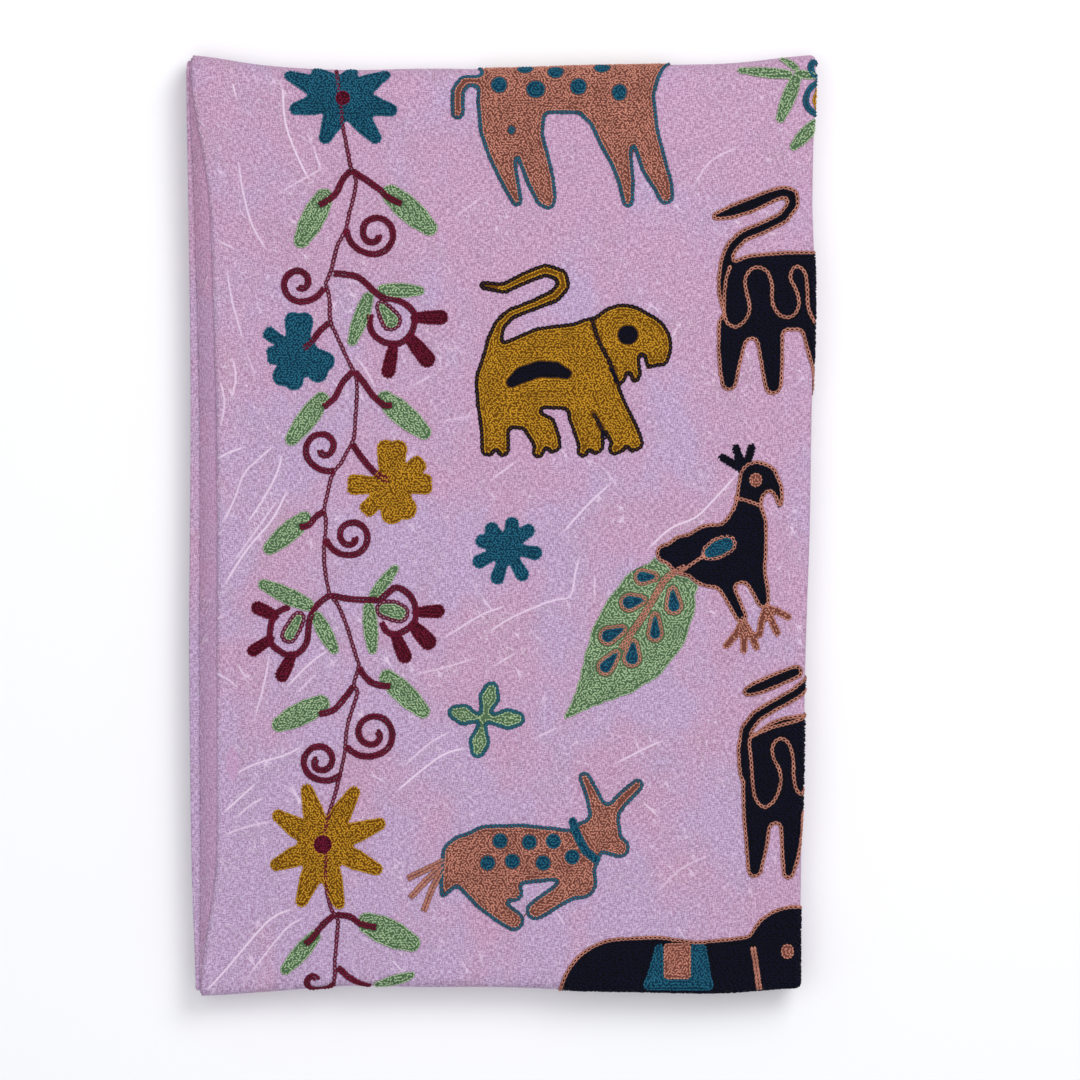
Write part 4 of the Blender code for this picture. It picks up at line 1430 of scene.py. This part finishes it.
# The two dark cats at the folded side, which they run round: navy rows edged in terracotta, with
# one long terracotta line that wanders over each body.
UPPER_CAT_AT = (165.2, 141.6)
UPPER_CAT = (
    ((-31, 50.4, 3.0), (-21.8, 53, 4.7), (-8.9, 57.4, 5.3), (2.5, 62.6, 4.7), (10.6, 65.4, 4.3),
     (16.4, 63.9, 4.2), (17.2, 58, 4.2), (10.9, 49.5, 4.2), (-1, 43.6, 4.2), (-13.9, 38.3, 4.2),
     (-21.0, 31.4, 4.2), (-25.0, 22, 4.0), (-26.4, 10, 4.0)),
    ((-17.8, 4, 12.4), (-5, 3, 24.5), (15, 4, 25), (60, 4, 25)),
    ((-19.5, -18, 10.8), (-21.6, -31.7, 8.8), (-22.6, -45, 6.8), (-22.6, -53, 5.4)), ((-9, -17, 9.5),),
    ((2, -20, 9.5), (3.4, -34, 8.2), (4.4, -47, 7.0), (4.8, -55, 5.8)),
    ((31, -20, 9), (33, -32, 8), (35.6, -45, 7), (36, -60, 5)),
)
UPPER_CAT_LINE = (
    (-21.8, 19.8), (-24.8, 9.9), (-25.7, -5), (-24.8, -13.9), (-19.8, -18.3), (-13.9, -15.8),
    (-9.9, -7.9), (-11.4, 2), (-12.9, 9.9), (-9.9, 16.8), (-4.5, 18.8), (1, 15.8), (4, 7.9), (4, -2),
    (6.9, -8.9), (11.9, -12.4), (17.8, -10.9), (20.8, -4), (18.8, 5), (15.3, 11.9), (16.8, 17.8),
    (20.8, 19.3), (24.8, 14.9), (25.7, 5), (26.7, -6.9), (30.7, -15.8),
)
LOWER_CAT_AT = (180.1, -159.9)
LOWER_CAT = (
    ((-26, 56.8, 3.6), (-19, 59.4, 4.8), (-9, 63.6, 5.0), (4, 69, 4.6)),
    ((13, 63, 4.2), (3, 55, 4.2), (-9, 48.4, 4.2), (-20, 42, 4.2), (-27, 33, 4.2), (-29, 20, 4.0),
     (-28, 6, 3.8)),
    ((-13, 8, 18), (3, 12, 30), (30, 14, 32)),
    ((-19, 22, 8), (-12, 26, 9), (0, 31, 9.5), (20, 34, 9.5)),
    ((-19, -4, 11), (-20, -22, 9.4), (-20.4, -38, 7.6), (-21.6, -54, 5.2)), ((-9, -15, 11),),
    ((1, -12, 9), (1.4, -30, 7.6), (0.6, -45, 6.2), (-0.6, -56, 4.2)),
)
LOWER_CAT_LINE = (
    (11.4, 41.6), (3, 38.1), (-9.9, 34.7), (-18.8, 31.2), (-24.8, 27.2), (-23.8, 14.4), (-22.8, -0.5),
    (-20.8, -10.4), (-15.3, -15.3), (-9.9, -11.4), (-5.9, -2.5), (-5.9, 7.4), (-9.9, 15.3),
    (-10.4, 23.3), (-5.9, 27.7), (-1, 25.2), (2, 17.3), (2.5, 6.4), (4, -3.5), (7.4, -7.4), (10.9, -2.5),
)

for name, strokes, line, at in (
    ("upper_cat", UPPER_CAT, UPPER_CAT_LINE, UPPER_CAT_AT),
    ("lower_cat", LOWER_CAT, LOWER_CAT_LINE, LOWER_CAT_AT),
):
    edge, fill = outlined(BROAD, strokes, at, lines=[line])
    embroider(name, "navy", fill)
    embroider(name, "terracotta", [stitches(LINE, edge + [worked_line(line, at)])])


# The running hare: packed rows of terracotta cotton edged in teal chain stitch, with teal spots, a
# teal collar and a loose terracotta tail.
HARE_AT = (17.5, -207.1)
HARE_BODY = (
    ((-38, 1, 15), (-24, 3, 18.5), (-4, 3, 19), (16, 3, 17), (31, 4, 14)),
    ((-44, 2, 10), (-49, -14, 6), (-52.5, -22, 2.5)),
    ((36, 14, 10), (33, 3, 13)),
    ((46.5, 19, 12.4), (47.5, 25, 10)), ((48, 12, 9), (57, 7.0, 6.8)),
    ((43, 32, 6), (39.6, 41.6, 4.8), (35.2, 50.6, 4.0)),
    ((52.5, 29.5, 5), (60.4, 38.6, 4.8), (68.4, 46, 4.2)),
    ((31.7, -2, 10), (33.5, -14, 9.8)), ((33, -15.5, 9.8),),
    ((28, -17, 8), (18, -23.4, 7), (10, -28.6, 6.8), (5, -32, 6.4)),
    ((-37, -11, 9.5), (-27, -24, 8), (-17, -32.6, 7.2), (-8.6, -38.2, 6.8)),
    ((-20, -18, 7), (-8.4, -20.8, 6.0)),
)
HARE_SPOTS = (
    ((-17.1, 11.1, 4.7),), ((1, 10.4, 4.7),), ((16, 10.9, 4.7),), ((-24.8, -2.5, 4.7),),
    ((-9.4, -1.5, 4.7),), ((9.6, -2.5, 4.7),), ((27.7, 1.2, 4.7),),
)
HARE_COLLAR = (((28.0, 23.4, 2.7), (30.6, 14.9, 2.8), (35.6, 5.4, 2.8), (42.4, -0.6, 2.7)),)
HARE_TAIL = (
    ((-52, -1), (-62, -6), (-74.3, -11.9)),
    ((-53, -4), (-63.5, -14), (-72.8, -23.8)),
    ((-53, -7), (-59.5, -19), (-64.4, -32.2)),
)

edge, fill = outlined(FILL, HARE_BODY, HARE_AT, HARE_SPOTS + HARE_COLLAR, soft=1.5)
tail = [line for points in HARE_TAIL for line in double_row(moved(points, HARE_AT))]
embroider("hare", "terracotta", fill + [stitches(TWIG, tail)])
marks = [work for spot in HARE_SPOTS + HARE_COLLAR for work in filled(FILL, [spot], HARE_AT, raised=0.12)]
embroider("hare", "teal", [stitches(LINE, edge)] + marks)


# The elephant at the near fold, which it runs under: navy rows edged in terracotta, a teal saddle
# cloth with a terracotta panel, and a terracotta eye and ear line.
ELEPHANT_AT = (116.9, -279.6)
ELEPHANT_BODY = (
    ((-40, -17, 41), (-20, -17, 42), (5, -18, 39.5), (20, -17, 40), (40, -15, 40)),
    ((67, 12, 32),),
)
SADDLE = (
    ((-17.5, 16.4, 3.4), (8.6, 16.4, 3.4)), ((-18.8, 11.4, 3.4), (9.6, 11.4, 3.4)),
    ((-20.2, 6.4, 3.4), (10.4, 6.4, 3.4)), ((-21.8, 1.4, 3.4), (11.2, 1.4, 3.4)),
    ((-23.4, -3.6, 3.4), (12.0, -3.6, 3.4)), ((-24.2, -6.2, 3.4), (12.6, -6.2, 3.4)),
)
SADDLE_PANEL = (
    ((-12.4, 17.6, 2.8), (-0.6, 17.6, 2.8)), ((-12.4, 13.4, 2.8), (-0.6, 13.4, 2.8)),
    ((-12.4, 9.2, 2.8), (-0.6, 9.2, 2.8)), ((-12.4, 5, 2.8), (-0.6, 5, 2.8)),
    ((-12.4, 0.6, 2.8), (-0.6, 0.6, 2.8)),
)
ELEPHANT_EYE = (((61.9, 14.2, 4.0), (61.9, 15.8, 4.0)),)
EAR_LINE = ((40.6, 17.9), (41.8, 10), (43.0, 2), (44.6, -9.9))

edge, fill = outlined(BROAD, ELEPHANT_BODY, ELEPHANT_AT, SADDLE + ELEPHANT_EYE, [EAR_LINE])
embroider("elephant", "navy", fill)
marks = filled(FILL, SADDLE_PANEL, ELEPHANT_AT, raised=0.2)
marks += filled(FILL, ELEPHANT_EYE, ELEPHANT_AT, raised=0.12)
ear = stitches(TWIG, double_row(moved(EAR_LINE, ELEPHANT_AT)))
embroider("elephant", "terracotta", [stitches(LINE, edge), ear] + marks)
ground = region(SADDLE, ELEPHANT_AT, [SADDLE_PANEL])
embroider("elephant", "teal", [bed(ground, 0.12), packed(FILL, ground)])


# The sprig in the far corner: green twigs and leaves, cut off by the two folds, with a piece of a
# teal and mustard blossom.
SPRIG_LEAVES = (
    Leaf((184.8, 279.4), (144.5, 283.6), 3.6),
    Leaf((185.5, 281.0), (172.9, 248.5), 4.6),
    Leaf((186.2, 282), (173.5, 294), 2.6),
    Leaf((183, 281), (199, 278.5), 2.8),
    Leaf((198, 251.5), (180.5, 233.0), 4.3),
)
SPRIG_ARC = ((202, 292.5), (196, 290), (193.2, 285), (195.5, 279.5), (203, 276.5))
SPRIG_BUD = ((202, 274.8), (195, 273.5), (191, 268), (190.5, 261.5), (194.5, 256.5), (202, 254.5))
SPRIG_HEART = (((203, 270, 4.5), (200, 264, 6), (203, 259, 4.5)),)

sprig = [work for each in SPRIG_LEAVES for work in filled(FILL, [leaf(*each)])]
embroider("sprig", "green", sprig)
embroider("sprig", "teal", [stitches(TWIG, double_row(SPRIG_BUD) + double_row(SPRIG_ARC))])
embroider("sprig", "mustard", filled(FILL, SPRIG_HEART))


# The surface, the light and the camera: a pale plain table, soft light from a large window high on
# the right, and a camera straight above, at the photo's scale.
PHOTO_SIDE = 1080
MM_PER_PIXEL = 0.6215
CLOTH_MIDDLE_PIXEL = (499.5, 525.5)
CAMERA_HEIGHT = 3.0

table_mesh = bpy.data.meshes.new("table_top")
top = bmesh.new()
bmesh.ops.create_grid(top, x_segments=1, y_segments=1, size=3.0)
top.to_mesh(table_mesh)
top.free()
table_top = bpy.data.objects.new("table_top", table_mesh)
bpy.context.scene.collection.objects.link(table_top)
table_paint = bpy.data.materials.new("pale table")
table_paint.use_nodes = True
table_paint.node_tree.nodes["Principled BSDF"].inputs["Base Color"].default_value = (0.95, 0.95, 0.95, 1)
table_paint.node_tree.nodes["Principled BSDF"].inputs["Roughness"].default_value = 0.9
table_mesh.materials.append(table_paint)

Lamp = namedtuple("Lamp", "name x y z size power")
LAMPS = (
    Lamp("window", 0.9, 1.1, 1.9, 1.2, 27.0),
    Lamp("ceiling", -0.4, -0.3, 2.4, 2.6, 30.0),
)
for lamp in LAMPS:
    light = bpy.data.lights.new(lamp.name, "AREA")
    light.size = lamp.size
    light.energy = lamp.power
    holder = bpy.data.objects.new(lamp.name, light)
    holder.location = (lamp.x, lamp.y, lamp.z)
    towards = -holder.location
    holder.rotation_mode = "QUATERNION"
    holder.rotation_quaternion = towards.to_track_quat("-Z", "Y")
    bpy.context.scene.collection.objects.link(holder)
world = bpy.data.worlds.new("room")
world.use_nodes = True
world.node_tree.nodes["Background"].inputs["Color"].default_value = (0.9, 0.92, 1.0, 1)
world.node_tree.nodes["Background"].inputs["Strength"].default_value = 0.4
bpy.context.scene.world = world
bpy.context.scene.view_settings.view_transform = "Standard"

lens = bpy.data.cameras.new("camera")
camera = bpy.data.objects.new("camera", lens)
view_middle = [
    (PHOTO_SIDE / 2 - CLOTH_MIDDLE_PIXEL[0]) * MM_PER_PIXEL * MM,
    (CLOTH_MIDDLE_PIXEL[1] - PHOTO_SIDE / 2) * MM_PER_PIXEL * MM,
]
plan_middle_x = ACROSS_SPACING / 2 + onto_surface[0]
plan_middle_y = ALONG_SPACING / 2 + TURN_OFFSET + onto_surface[1]
camera.location = (
    view_middle[0] + plan_middle_x, view_middle[1] + plan_middle_y, STACK_HEIGHT + CAMERA_HEIGHT
)
lens.sensor_width = 36.0
lens.lens = lens.sensor_width * CAMERA_HEIGHT / (PHOTO_SIDE * MM_PER_PIXEL * MM)
bpy.context.scene.collection.objects.link(camera)
bpy.context.scene.camera = camera
